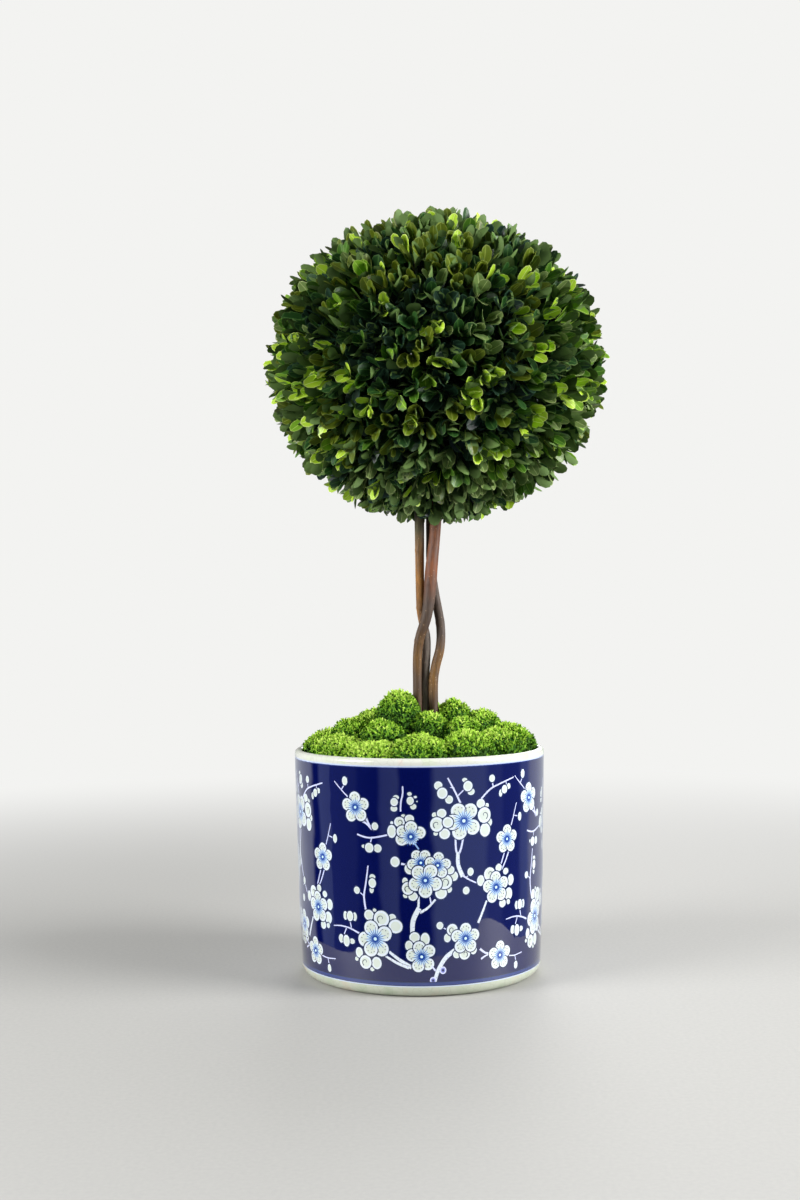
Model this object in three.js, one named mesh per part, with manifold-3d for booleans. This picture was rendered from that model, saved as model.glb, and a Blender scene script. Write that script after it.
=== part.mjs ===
// A box topiary ball: a clipped ball of box on three twisted stems, in a moss-topped planter.
// Millimetres, +Z up. The origin is the centre of the planter's flat underside, -Y is the front.
import * as THREE from 'three';
import { mergeVertices } from 'three/addons/utils/BufferGeometryUtils.js';
import Module from 'manifold-3d';

const wasm = await Module();
wasm.setup();

// ---- driving dimensions ----

const CLEARANCE = 0.3; // left between pieces that rest on or in each other

// the planter, a thrown and glazed pot with a rolled rim
const POT_HEIGHT = 178;
const RIM_RADIUS = 100;
const HEEL_RADIUS = 95.6; // the wall narrows a little on its way down
const WALL_CURVE = 0.75; // below 1 the wall is a little full, at 1 it is straight
const FOOT_RADIUS = 88; // edge of the flat underside
const HEEL_RISE = 9; // height of the rounded heel
const WALL = 6.5;
const FLOOR = 9;
const POT_FACETS = 32;

// the dry foam that fills the pot and carries the stems and the moss
const FILLING_EDGE_HEIGHT = 156;
const FILLING_CROWN_HEIGHT = 178;
const FILLING_RINGS = 2;

// the stems, three vines twisted round each other
const STEM_SIDES = 8;
const STEM_STEPS = 25;
const STEM_FOOT = 112; // height of the flat cut, inside the foam
const STEM_TIP = 387; // height of the tips, inside the ball

// the ball of foliage
const BALL = { centre: new THREE.Vector3(16.7, 0, 483), width: 272, height: 249.5 };
const BALL_DETAIL = 6;
const BALL_LOBES = { amount: 1.5, waves: [9, 20], seed: 11 };

// the cushions of moss: where each stands, how far it spreads and how high it peaks
const MOSS_DETAIL = 2;
const MOSS_LOBES = { amount: 1.3, waves: [4, 8] };
const MOSS_SINK = 8; // how far the middle of a cushion lies below the foam's surface
const MOSS_FULLNESS = 0.55; // below 1 a cushion has steep sides and a flatter top
const MOSS_BY_THE_STEMS = [
  { name: 'moss_tall', x: -16, y: -14, spread: 20.5, peak: 223 },
  { name: 'moss_small_front', x: 9, y: -23, spread: 17, peak: 208 },
  { name: 'moss_right', x: 28, y: 4, spread: 16, peak: 214.5 },
  { name: 'moss_far_right', x: 50, y: 4, spread: 19, peak: 207 },
  { name: 'moss_front_left', x: -28, y: -36, spread: 19, peak: 200 },
  { name: 'moss_front_right', x: 34, y: -28, spread: 18, peak: 202 },
  { name: 'moss_back', x: 6, y: 30, spread: 27, peak: 212 },
  { name: 'moss_back_left', x: -30, y: 24, spread: 28, peak: 208 },
  { name: 'moss_left', x: -49, y: -9, spread: 22, peak: 203 },
];
const MOSS_RING = {
  radius: 69,
  firstAngle: -90, // degrees from +X
  spreads: [25, 26, 25, 25, 26, 25, 26, 25, 25, 26, 25, 26],
  peaks: [191, 193, 193, 195, 193, 190, 191, 188, 190, 192, 190, 187],
};

// ---- materials ----

const glaze = new THREE.MeshStandardMaterial({ color: 0x15126a, roughness: 0.12, metalness: 0 });
const foam = new THREE.MeshStandardMaterial({ color: 0x4d5a34, roughness: 0.95, metalness: 0 });
const bark = new THREE.MeshStandardMaterial({ color: 0x6a4a31, roughness: 0.6, metalness: 0 });
const boxLeaf = new THREE.MeshStandardMaterial({ color: 0x4f7a1f, roughness: 0.55, metalness: 0 });
const moss = new THREE.MeshStandardMaterial({ color: 0x79a832, roughness: 0.95, metalness: 0 });

// ---- solids and meshes ----

/** Leaves only the positions of a closed geometry, with shared vertices merged. */
function positionsOnly(geometry) {
  const bare = geometry.clone();
  bare.deleteAttribute('normal');
  bare.deleteAttribute('uv');
  return mergeVertices(bare, 1e-4);
}

/** Turns a closed geometry into a solid that can be joined and cut. */
function solidOf(geometry) {
  const merged = positionsOnly(geometry);
  const corners = Array.from(merged.index.array);
  const triangles = [];
  for (let i = 0; i < corners.length; i += 3) {
    const [a, b, c] = corners.slice(i, i + 3);
    if (a !== b && b !== c && c !== a) triangles.push(a, b, c);
  }
  return new wasm.Manifold(new wasm.Mesh({
    numProp: 3,
    vertProperties: new Float32Array(merged.attributes.position.array),
    triVerts: new Uint32Array(triangles),
  }));
}

/** Turns a solid back into a geometry. */
function geometryOf(solid) {
  const { vertProperties, triVerts } = solid.getMesh();
  const geometry = new THREE.BufferGeometry();
  geometry.setAttribute('position', new THREE.BufferAttribute(vertProperties, 3));
  geometry.setIndex(new THREE.BufferAttribute(triVerts, 1));
  geometry.computeVertexNormals();
  return geometry;
}

/** The biggest body of a solid, so that a cut leaves no loose slivers. */
function biggestBody(solid) {
  const bodies = solid.decompose();
  return bodies.reduce((best, body) => (body.volume() > best.volume() ? body : best));
}

/** A named mesh of one sub-part. */
function meshOf(name, geometry, material) {
  const mesh = new THREE.Mesh(geometry, material);
  mesh.name = name;
  return mesh;
}

/** Turns a closed [radius, height] outline round the Z axis. */
function turned(outline) {
  const points = outline.map(([radius, height]) => new THREE.Vector2(radius, height));
  return new THREE.LatheGeometry(points, POT_FACETS).rotateX(Math.PI / 2);
}

/** Points of an arc in the outline's plane, with angles in degrees. */
function arc(centreRadius, centreHeight, spanRadius, spanHeight, from, to, steps) {
  return Array.from({ length: steps + 1 }, (_, i) => {
    const angle = THREE.MathUtils.degToRad(from + ((to - from) * i) / steps);
    return [
      centreRadius + spanRadius * Math.cos(angle),
      centreHeight + spanHeight * Math.sin(angle),
    ];
  });
}

/** A repeatable stream of numbers from 0 to 1. */
function randomStream(seed) {
  let state = seed;
  return () => {
    state = (state * 1664525 + 1013904223) % 4294967296;
    return state / 4294967296;
  };
}

/** Pushes the points of a ball in and out by soft lobes, so that it reads as grown. */
function makeUneven(geometry, { amount, waves, seed }) {
  const random = randomStream(seed);
  const lobes = Array.from({ length: 7 }, () => ({
    axis: new THREE.Vector3(random() - 0.5, random() - 0.5, random() - 0.5).normalize(),
    waves: THREE.MathUtils.lerp(waves[0], waves[1], random()),
    phase: 2 * Math.PI * random(),
  }));
  const positions = geometry.attributes.position;
  const point = new THREE.Vector3();
  for (let i = 0; i < positions.count; i += 1) {
    point.fromBufferAttribute(positions, i);
    const outward = point.clone().normalize();
    const push = lobes.reduce(
      (sum, lobe) => sum + Math.sin(lobe.waves * outward.dot(lobe.axis) + lobe.phase),
      0,
    );
    point.addScaledVector(outward, (amount * push) / Math.sqrt(lobes.length));
    positions.setXYZ(i, point.x, point.y, point.z);
  }
  return geometry;
}

/** Pushes every point of a centred ball outwards by the same distance. */
function swell(geometry, distance) {
  const positions = geometry.attributes.position;
  const point = new THREE.Vector3();
  for (let i = 0; i < positions.count; i += 1) {
    point.fromBufferAttribute(positions, i);
    point.setLength(point.length() + distance);
    positions.setXYZ(i, point.x, point.y, point.z);
  }
  return geometry;
}

// ---- planter ----

/** Radius of the planter's outer wall at a height. */
function wallRadius(height) {
  const up = (height - HEEL_RISE) / (POT_HEIGHT - HEEL_RISE);
  return THREE.MathUtils.lerp(HEEL_RADIUS, RIM_RADIUS, Math.max(up, 0) ** WALL_CURVE);
}

const lipRadius = WALL / 2;
const lipHeight = POT_HEIGHT - lipRadius;
const wallHeights = [26, 60, 110, 150];

function planter() {
  const heel = arc(FOOT_RADIUS, HEEL_RISE, HEEL_RADIUS - FOOT_RADIUS, HEEL_RISE, -90, 0, 2);
  const outerWall = wallHeights.map((height) => [wallRadius(height), height]);
  const lip = arc(RIM_RADIUS - lipRadius, lipHeight, lipRadius, lipRadius, 0, 180, 4);
  const innerWall = [...wallHeights].reverse().map((height) => [wallRadius(height) - WALL, height]);
  return turned([
    [0, 0],
    ...heel,
    ...outerWall,
    ...lip,
    ...innerWall,
    [FOOT_RADIUS - WALL / 2, FLOOR],
    [0, FLOOR],
  ]);
}

/** Outline of the room inside the planter's wall, from its floor up to a height. */
function insideWall(topHeight) {
  const heights = wallHeights.filter((height) => height < topHeight);
  return [
    [FOOT_RADIUS - WALL / 2 - CLEARANCE, FLOOR + CLEARANCE],
    ...heights.map((height) => [wallRadius(height) - WALL - CLEARANCE, height]),
  ];
}

// ---- stems ----

/** Radius at a share of a limb's length, from radii spaced evenly along it. */
function radiusAt(radii, share) {
  const place = share * (radii.length - 1);
  const before = Math.min(Math.floor(place), radii.length - 2);
  return THREE.MathUtils.lerp(radii[before], radii[before + 1], place - before);
}

/** A limb of changing thickness: a rod bent along the curve through its points, foot first. */
function limb({ route, radii }, extra = 0) {
  const curve = new THREE.CatmullRomCurve3(route, false, 'centripetal');
  const frames = curve.computeFrenetFrames(STEM_STEPS);
  const rod = new THREE.CylinderGeometry(1, 1, 1, STEM_SIDES, STEM_STEPS);
  const positions = rod.attributes.position;
  for (let i = 0; i < positions.count; i += 1) {
    const step = Math.round((positions.getY(i) + 0.5) * STEM_STEPS);
    const radius = radiusAt(radii, step / STEM_STEPS) + extra;
    const atEnd = step === 0 ? -extra : step === STEM_STEPS ? extra : 0;
    const point = curve
      .getPointAt(step / STEM_STEPS)
      .addScaledVector(frames.normals[step], positions.getX(i) * radius)
      .addScaledVector(frames.binormals[step], -positions.getZ(i) * radius)
      .addScaledVector(frames.tangents[step], atEnd);
    positions.setXYZ(i, point.x, point.y, point.z);
  }
  return rod;
}

/** Route of a stem: straight up out of the foam, through its twists and into the ball. */
function stemRoute(footX, footY, twists, tipX, tipY) {
  return [
    new THREE.Vector3(footX, footY, STEM_FOOT),
    ...twists.map(([x, y, height]) => new THREE.Vector3(x, y, height)),
    new THREE.Vector3(tipX, tipY, STEM_TIP),
  ];
}

const stems = [
  {
    name: 'stem_left', // rises on the left, and runs behind the front stem to the middle
    radii: [3.2, 3.2, 3.2, 3.2, 3.2, 3.2, 3.2, 3.2, 3.3, 3.4, 3.8, 3.8],
    route: stemRoute(5.3, 3.2, [
      [5.2, 2.8, 165],
      [5.2, 2.8, 218],
      [5.7, 3.1, 238],
      [6.6, 3.9, 252],
      [7.1, 4.8, 263],
      [6.3, 5.3, 271],
      [4.3, 5.4, 277],
      [2.8, 4.9, 284],
      [2.3, 3.9, 292],
      [2.1, 2.4, 305],
      [2.0, 1.0, 335],
    ], 2.1, 0.6),
  },
  {
    name: 'stem_front', // comes down from the right, across the front, to the left
    radii: [3.4, 3.4, 3.4, 3.4, 3.4, 3.4, 3.4, 4.1, 4.9, 4.3, 4.0, 4.0],
    route: stemRoute(-1.4, -1.8, [
      [-1.0, -1.4, 165],
      [-0.9, -1.6, 222],
      [-0.9, -1.8, 240],
      [-0.7, -2.3, 253],
      [0.1, -2.9, 262],
      [2.2, -3.4, 269],
      [5.0, -3.8, 276],
      [7.2, -4.0, 283],
      [8.6, -4.0, 291],
      [9.8, -3.9, 302],
      [10.7, -3.8, 315],
      [12.3, -3.1, 330],
      [14.2, -2.0, 345],
      [15.4, -1.4, 360],
    ], 17.2, -0.6),
  },
  {
    name: 'stem_right', // starts behind the front stem, and bows out to the right
    radii: [3.6, 3.6, 3.6, 3.6, 3.6, 3.5, 3.4, 3.3, 3.4, 3.4, 3.3, 3.3],
    route: stemRoute(12.6, -1.6, [
      [12.0, -1.0, 165],
      [11.8, -0.8, 218],
      [11.9, -0.4, 228],
      [12.6, 0.1, 237],
      [14.5, 0.7, 245],
      [17.1, 1.3, 253],
      [18.6, 2.0, 264],
      [18.1, 3.2, 278],
      [15.4, 4.9, 293],
      [12.8, 6.0, 309],
      [10.9, 6.4, 325],
      [11.0, 6.0, 343],
    ], 11.0, 5.0),
  },
];
const stemRoom = wasm.Manifold.union(stems.map((stem) => solidOf(limb(stem, CLEARANCE))));

// ---- filling ----

const fillingEdge = wallRadius(FILLING_EDGE_HEIGHT) - WALL - CLEARANCE;

/** Height of the foam's domed top at a distance from the axis. */
function fillingHeight(radius) {
  const outward = radius / fillingEdge;
  return THREE.MathUtils.lerp(FILLING_CROWN_HEIGHT, FILLING_EDGE_HEIGHT, outward * outward);
}

/** Outline of the foam's domed top, from its edge to the axis. */
function fillingTop(lift) {
  return Array.from({ length: FILLING_RINGS + 1 }, (_, i) => {
    const radius = fillingEdge * (1 - i / FILLING_RINGS);
    return [radius, fillingHeight(radius) + lift];
  });
}

function filling() {
  const block = turned([
    [0, FLOOR + CLEARANCE],
    ...insideWall(FILLING_EDGE_HEIGHT),
    ...fillingTop(0),
  ]);
  return geometryOf(solidOf(block).subtract(stemRoom));
}

// ---- ball of foliage ----

function ball() {
  const round = new THREE.IcosahedronGeometry(BALL.width / 2, BALL_DETAIL);
  round.scale(1, 1, BALL.height / BALL.width);
  makeUneven(round, BALL_LOBES);
  round.translate(...BALL.centre.toArray());
  return geometryOf(solidOf(round).subtract(stemRoom));
}

// ---- moss ----

/** The cushions round the rim, spaced evenly. */
function ringCushions({ radius, firstAngle, spreads, peaks }) {
  return peaks.map((peak, i) => {
    const angle = THREE.MathUtils.degToRad(firstAngle + (360 * i) / peaks.length);
    return {
      name: `moss_rim_${i + 1}`,
      x: radius * Math.cos(angle),
      y: radius * Math.sin(angle),
      spread: spreads[i],
      peak,
    };
  });
}

/** Steepens the sides of a ball and flattens its top. */
function fillShoulders(geometry, radius) {
  const positions = geometry.getAttribute('position');
  for (let i = 0; i < positions.count; i += 1) {
    const share = positions.getZ(i) / radius;
    positions.setZ(i, Math.sign(share) * Math.abs(share) ** MOSS_FULLNESS * radius);
  }
}

/** One cushion as an uneven dome, its middle a little below the foam's surface. */
function cushion({ x, y, spread, peak }, seed, extra = 0) {
  const seat = fillingHeight(Math.hypot(x, y)) - MOSS_SINK;
  const dome = new THREE.IcosahedronGeometry(spread, MOSS_DETAIL);
  fillShoulders(dome, spread);
  dome.scale(1, 1, (peak - seat) / spread);
  makeUneven(dome, { ...MOSS_LOBES, seed });
  if (extra > 0) swell(dome, extra);
  return solidOf(dome.translate(x, y, seat));
}

/** All the cushions, each cut to its neighbours, the stems, the foam and the planter. */
function mossMeshes() {
  const ceiling = 2 * POT_HEIGHT;
  const roof = [[fillingEdge, ceiling], [0, ceiling]];
  const room = solidOf(turned([...fillingTop(CLEARANCE).reverse(), ...roof]));
  const cushions = [...MOSS_BY_THE_STEMS, ...ringCushions(MOSS_RING)];
  let taken = stemRoom;
  return cushions.map((place, i) => {
    const solid = biggestBody(cushion(place, i + 1).intersect(room).subtract(taken));
    taken = taken.add(cushion(place, i + 1, CLEARANCE));
    return meshOf(place.name, geometryOf(solid), moss);
  });
}

// ---- the whole plant ----

const topiary = new THREE.Group();
topiary.add(
  meshOf('pot', planter(), glaze),
  meshOf('filling', filling(), foam),
  ...stems.map((stem) => meshOf(stem.name, limb(stem), bark)),
  meshOf('crown', ball(), boxLeaf),
  ...mossMeshes(),
);

export default topiary;
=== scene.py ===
# %% [markdown]
# # A clipped box ball in a blue and white pot
#
# This lesson builds the looks of a table topiary: a ball of preserved box foliage on three twisted
# stems, in a mound of cushion moss, in a round glazed planter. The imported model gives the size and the
# place of everything. Each cell below makes one piece or one finish round it.
#
# Lengths are metres, as Blender has them. `MM` turns a length in millimetres into metres.

import math

import bmesh
import bpy
import numpy as np
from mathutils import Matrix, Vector, noise
from mathutils.bvhtree import BVHTree
from mathutils.geometry import delaunay_2d_cdt


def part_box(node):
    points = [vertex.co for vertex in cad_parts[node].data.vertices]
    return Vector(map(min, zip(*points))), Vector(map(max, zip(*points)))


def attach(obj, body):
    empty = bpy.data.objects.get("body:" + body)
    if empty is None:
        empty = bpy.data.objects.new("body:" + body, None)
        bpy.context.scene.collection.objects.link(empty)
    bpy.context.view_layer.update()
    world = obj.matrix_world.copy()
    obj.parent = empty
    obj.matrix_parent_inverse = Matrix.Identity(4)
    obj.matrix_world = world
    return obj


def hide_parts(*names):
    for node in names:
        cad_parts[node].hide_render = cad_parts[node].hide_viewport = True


MM = 0.001
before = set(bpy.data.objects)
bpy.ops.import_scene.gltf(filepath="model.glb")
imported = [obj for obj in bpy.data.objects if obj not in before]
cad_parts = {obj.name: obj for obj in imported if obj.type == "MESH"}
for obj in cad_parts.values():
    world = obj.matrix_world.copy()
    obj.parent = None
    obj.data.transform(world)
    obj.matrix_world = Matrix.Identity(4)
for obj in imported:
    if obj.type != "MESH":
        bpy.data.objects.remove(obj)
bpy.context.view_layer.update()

# %% [markdown]
# ## The camera
#
# A pot and a ball on a table are best seen from a little above the table and from about the distance of
# an arm and a half, so that the rim of the pot shows as a thin ellipse. A level camera keeps upright
# things upright. A small vertical shift then frames the plant, as a shift lens does.

# %% Camera
CAMERA_PLACE = (-14.3 * MM, -1200 * MM, 286.6 * MM)
CAMERA_LENS = 44.7
CAMERA_SHIFT = 0.01
CAMERA_ROLL = 0.0103

lens = bpy.data.cameras.new("camera")
lens.lens = CAMERA_LENS
lens.shift_y = CAMERA_SHIFT
camera = bpy.data.objects.new("camera", lens)
camera.location = CAMERA_PLACE
camera.rotation_mode = "XYZ"
camera.rotation_euler = (math.radians(90), CAMERA_ROLL, 0)
bpy.context.scene.collection.objects.link(camera)
bpy.context.scene.camera = camera
bpy.context.scene.view_settings.view_transform = "Standard"
print("the camera stands", CAMERA_PLACE[2] / MM, "mm above the table")

# %% [markdown]
# ## Small helpers
#
# Four things are done again and again: turning a given colour into the linear numbers that a shader
# works with, adding a node with its settings and links, making a mesh from arrays, and reading a solid of
# the imported model. Arrays are chosen over operators because this plant has some ten thousand
# leaves.


# %% Colours and nodes
def linear(colour):
    """An sRGB hex colour such as '#4a7023' as linear red, green, blue and alpha."""
    parts = [int(colour[i : i + 2], 16) / 255 for i in (1, 3, 5)]
    bent = [x / 12.92 if x <= 0.04045 else ((x + 0.055) / 1.055) ** 2.4 for x in parts]
    return (*bent, 1.0)


def connect(tree, node, sockets):
    """Gives each socket a value, a hex colour, or a link if it is given another node's output."""
    for key, value in sockets.items():
        if isinstance(value, bpy.types.NodeSocket):
            tree.links.new(value, node.inputs[key])
        else:
            node.inputs[key].default_value = linear(value) if isinstance(value, str) else value


def add(tree, kind, output, sockets=None, **settings):
    """Adds a node with its settings and links, and returns this output of it."""
    node = tree.nodes.new("ShaderNode" + kind)
    for name, value in settings.items():
        setattr(node, name, value)
    connect(tree, node, sockets or {})
    return node.outputs[output]


def new_material(name, sockets):
    """A material whose Principled shader has these values. Returns it, its tree and its shader."""
    made = bpy.data.materials.new(name)
    made.use_nodes = True
    shader = made.node_tree.nodes["Principled BSDF"]
    connect(made.node_tree, shader, sockets)
    return made, made.node_tree, shader


# %% The nodes used most
NOISE_RANGE = (0.3, 0.7)


def object_place(tree):
    """The place of each point of a piece."""
    return add(tree, "TexCoord", "Object")


def spots(tree, place, apart, detail=2.0, rough=0.5, output="Fac"):
    """Noise with spots about this many millimetres apart."""
    sockets = {"Vector": place, "Scale": 1 / (apart * MM), "Detail": detail, "Roughness": rough}
    return add(tree, "TexNoise", output, sockets)


def cells(tree, place, apart, **settings):
    """Cells about this many millimetres wide, as the distance from their middles or their edges."""
    return add(tree, "TexVoronoi", "Distance", {"Vector": place, "Scale": 1 / (apart * MM)}, **settings)


def remap(tree, value, old, new, **settings):
    """Maps a value from one range to another and stops at its ends."""
    sockets = {"Value": value, "From Min": old[0], "From Max": old[1], "To Min": new[0], "To Max": new[1]}
    return add(tree, "MapRange", "Result", sockets, **settings)


def gloss(tree, value, low, high):
    """A roughness that follows a noise. Most of a noise lies within NOISE_RANGE."""
    return remap(tree, value, NOISE_RANGE, (low, high))


def ramp(tree, value, stops):
    """A colour that follows a value through stops of position and hex colour."""
    colour = add(tree, "ValToRGB", "Color", {"Fac": value})
    elements = colour.node.color_ramp.elements
    while len(elements) < len(stops):
        elements.new(1.0)
    for element, (position, shade) in zip(elements, stops):
        element.position = position
        element.color = linear(shade)
    return colour


def mix(tree, share, first, second, **settings):
    """Mixes two colours, each a hex colour or another node's output."""
    return add(tree, "MixRGB", "Color", {"Fac": share, "Color1": first, "Color2": second}, **settings)


def bump(tree, height, strength, depth):
    """Relief this many millimetres deep."""
    return add(tree, "Bump", "Normal", {"Height": height, "Strength": strength, "Distance": depth * MM})


def calculate(tree, operation, *numbers):
    """A sum on plain numbers or other nodes' outputs."""
    return add(tree, "Math", "Value", dict(enumerate(numbers)), operation=operation)


# %% Meshes from arrays
def make_piece(name, points, faces, materials, slot, slots=None, uv=None, sharp=None):
    """A piece from arrays of points and faces, with a material for each face and a UV for each corner.

    The faces are an array of triangles, or a list of rows of corners.
    """
    corners = np.concatenate(list(faces))
    sizes = np.array([len(face) for face in faces])
    mesh = bpy.data.meshes.new(name)
    mesh.vertices.add(len(points))
    mesh.vertices.foreach_set("co", np.asarray(points, np.float32).ravel())
    mesh.loops.add(len(corners))
    mesh.loops.foreach_set("vertex_index", corners.astype(np.int32))
    mesh.polygons.add(len(sizes))
    mesh.polygons.foreach_set("loop_start", (np.cumsum(sizes) - sizes).astype(np.int32))
    for material in materials:
        mesh.materials.append(material)
    if slots is not None:
        mesh.polygons.foreach_set("material_index", np.asarray(slots, np.int32))
    if uv is not None:
        layer = mesh.uv_layers.new(name="OFBake")
        layer.data.foreach_set("uv", np.asarray(uv, np.float32).ravel())
    mesh.update(calc_edges=True)
    mesh.shade_smooth()
    if sharp is not None:
        mesh.set_sharp_from_angle(angle=math.radians(sharp))
    piece = bpy.data.objects.new(name, mesh)
    bpy.context.scene.collection.objects.link(piece)
    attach(piece, "root")
    triangles = int(sizes.sum() - 2 * len(sizes))
    print(f"{name}: {len(points)} points, {triangles} triangles")
    return piece


def join(parts):
    """Many pairs of points and triangles as one pair."""
    firsts = np.cumsum([0] + [len(points) for points, faces in parts])
    faces = [faces + first for (points, faces), first in zip(parts, firsts)]
    return np.concatenate([points for points, faces in parts]), np.concatenate(faces)


def triangle_sizes(points, triangles):
    """The corners of each triangle, its area and the way it faces."""
    corners = points[triangles]
    cross = np.cross(corners[:, 1] - corners[:, 0], corners[:, 2] - corners[:, 0])
    area = np.linalg.norm(cross, axis=1) / 2
    return corners, area, cross / (2 * area[:, None] + 1e-15)


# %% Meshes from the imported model
WELD = 0.001 * MM


def node_shape(name, cuts=0):
    """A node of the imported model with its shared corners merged, cut finer and made of triangles."""
    shape = bmesh.new()
    shape.from_mesh(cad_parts[name].data)
    bmesh.ops.remove_doubles(shape, verts=shape.verts, dist=WELD)
    if cuts:
        bmesh.ops.subdivide_edges(shape, edges=shape.edges, cuts=cuts, use_grid_fill=True)
    bmesh.ops.triangulate(shape, faces=shape.faces)
    return shape


def shape_arrays(shape):
    """The points and triangles of a shape, which is let go."""
    points = np.array([v.co for v in shape.verts])
    triangles = np.array([[v.index for v in f.verts] for f in shape.faces])
    shape.free()
    return points, triangles


def node_mesh(name):
    """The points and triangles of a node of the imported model."""
    return shape_arrays(node_shape(name))


# %% [markdown]
# ## The pot: shape
#
# The planter is thrown or jiggered stoneware: a wall that opens a little towards the top, a rolled rim
# and a rounded heel. Only the wall carries the picture, so the pot is made as three closed rings that
# meet: foot, wall and rim. Each is turned from a profile. The wall is never quite true on a real pot.
# Waves of a tenth of a millimetre are enough to bend the reflections in its glaze.

# %% Pot sizes
pot_low, pot_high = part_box("pot")
POT_HEIGHT = pot_high.z / MM
RIM_RADIUS = (pot_high.x - pot_low.x) / 2 / MM
HEEL_RADIUS = 0.956 * RIM_RADIUS
FOOT_RADIUS = 0.88 * RIM_RADIUS
HEEL_RISE = 8.2
WALL = 6.5
WALL_CURVE = 0.75
RIM_LINE = 172.8
TURN_STEPS = 144
# Each wave has a depth in millimetres, a number of turns round the pot, a rise and a phase in radians.
WAVES = [(0.10, 3, 21.0, 0.4), (0.08, 5, -16.0, 1.9), (0.05, 9, 33.0, 4.1), (0.03, 14, 55.0, 2.2)]
WAVES_FADE = 12


def wall_radius(height):
    """Radius of the true wall at a height, both in millimetres."""
    share = np.clip((height - HEEL_RISE) / (POT_HEIGHT - HEEL_RISE), 0, 1)
    return HEEL_RADIUS + (RIM_RADIUS - HEEL_RADIUS) * share**WALL_CURVE


def unevenness(angle, height):
    """How far the real wall stands off the true one, in millimetres. It fades out at both ends."""
    total = 0
    for depth, turns, rise, phase in WAVES:
        total = total + depth * np.sin(turns * angle + rise * height / POT_HEIGHT + phase)
    return total * np.clip(np.minimum(height - HEEL_RISE, RIM_LINE - height) / WAVES_FADE, 0, 1)


def wall_point(angle, height):
    """A point on the outside of the wall in metres. Angle 0 is the front and grows to the right."""
    radius = wall_radius(height) + unevenness(angle, height)
    return np.stack([radius * np.sin(angle), -radius * np.cos(angle), height + 0 * radius], -1) * MM


def wall_normal(angle, height):
    """The direction the wall faces there, from two small steps along it."""
    step = 1e-3
    along = wall_point(angle + step, height) - wall_point(angle - step, height)
    up = wall_point(angle, height + step * 100) - wall_point(angle, height - step * 100)
    facing = np.cross(along, up)
    return facing / np.linalg.norm(facing, axis=-1, keepdims=True)


print("pot", POT_HEIGHT, "mm tall,", RIM_RADIUS * 2, "mm across its rim")

# %% [markdown]
# ## The pot: picture
#
# The decoration is the old plum blossom pattern: sprays of white prunus with buds, on a cobalt ground.
# On such pots a printed transfer a quarter of the way round is laid four times under the glaze, cut
# apart where it has to fit, so a few sprays lie lower or further round on each side. It could be
# painted into an image, but an image blurs close up. Here each petal, twig and dot is an outline on the
# unrolled wall. The outlines are cut into the wall's own mesh, and each small face takes the plain
# colour of the topmost shape that it lies in, as with layers of paint.
#
# Along the unrolled wall `u` runs to the right from the middle of a side and `z` runs up, both in
# millimetres.

# %% Brushes
PRINT_RADIUS = 98.0
PANEL = 2 * math.pi * PRINT_RADIUS / 4
INKS = "cobalt white petal line stamen wash haze centre twig shade edge band".split()
SIDES = {"left": -1, "front": 0, "right": 1, "back": 2}
# How far round and up some motifs lie from their place in the transfer, on three of the sides.
LAID_OFF = {
    ("left", "high twig"): (-6, -3.5),
    ("left", "small flower"): (-1.5, -14),
    ("left", "round spray"): (1, -18),
    ("left", "loose buds"): (0, -15),
    ("left", "last flower"): (-9, -1),
    ("right", "first flower"): (-5.5, 2),
    ("right", "middle spray"): (-9, -3),
    ("right", "tall twig"): (-8, 5),
    ("right", "left buds"): (-10, 4),
    ("right", "large low spray"): (-6, 6),
    ("back", "round spray"): (2, -6),
    ("back", "last flower"): (-5, 1),
}
brush = {"side": "front", "u": 0.0, "z": 0.0}
layers = []


def laid_off(motif):
    """How far this motif lies from its place in the transfer, on the side that is painted now."""
    return LAID_OFF.get((brush["side"], motif), (0, 0))


def lay(motif):
    """Moves the brush to where this motif was laid on the side that is painted now."""
    across, up = laid_off(motif)
    brush["u"] = SIDES[brush["side"]] * PANEL + across
    brush["z"] = up


def paint(ink, outline):
    """Adds a shape on top of what is painted already, with its corners anticlockwise."""
    pairs = zip(outline, outline[1:] + outline[:1])
    area = sum(a[0] * b[1] - b[0] * a[1] for a, b in pairs)
    moved = [(u + brush["u"], z + brush["z"]) for u, z in outline]
    layers.append((INKS.index(ink), moved if area > 0 else moved[::-1]))


def polar(u, z, far, angle):
    """The point at this distance and angle from another."""
    return u + far * math.cos(angle), z + far * math.sin(angle)


def oval(u, z, wide, tall, corners):
    """An oval outline with these half sizes."""
    turns = [2 * math.pi * i / corners for i in range(corners)]
    return [(u + wide * math.cos(t), z + tall * math.sin(t)) for t in turns]


def stroke(points, start, end, steps=6):
    """A brush stroke along a smooth line through the points, from one half width to the other."""
    line = smooth_line(points, steps)
    left = []
    right = []
    for i, (u, z) in enumerate(line):
        before = line[max(i - 1, 0)]
        after = line[min(i + 1, len(line) - 1)]
        length = math.dist(before, after)
        across = ((before[1] - after[1]) / length, (after[0] - before[0]) / length)
        half = start + (end - start) * i / (len(line) - 1)
        left.append((u + across[0] * half, z + across[1] * half))
        right.append((u - across[0] * half, z - across[1] * half))
    return left + right[::-1]


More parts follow.
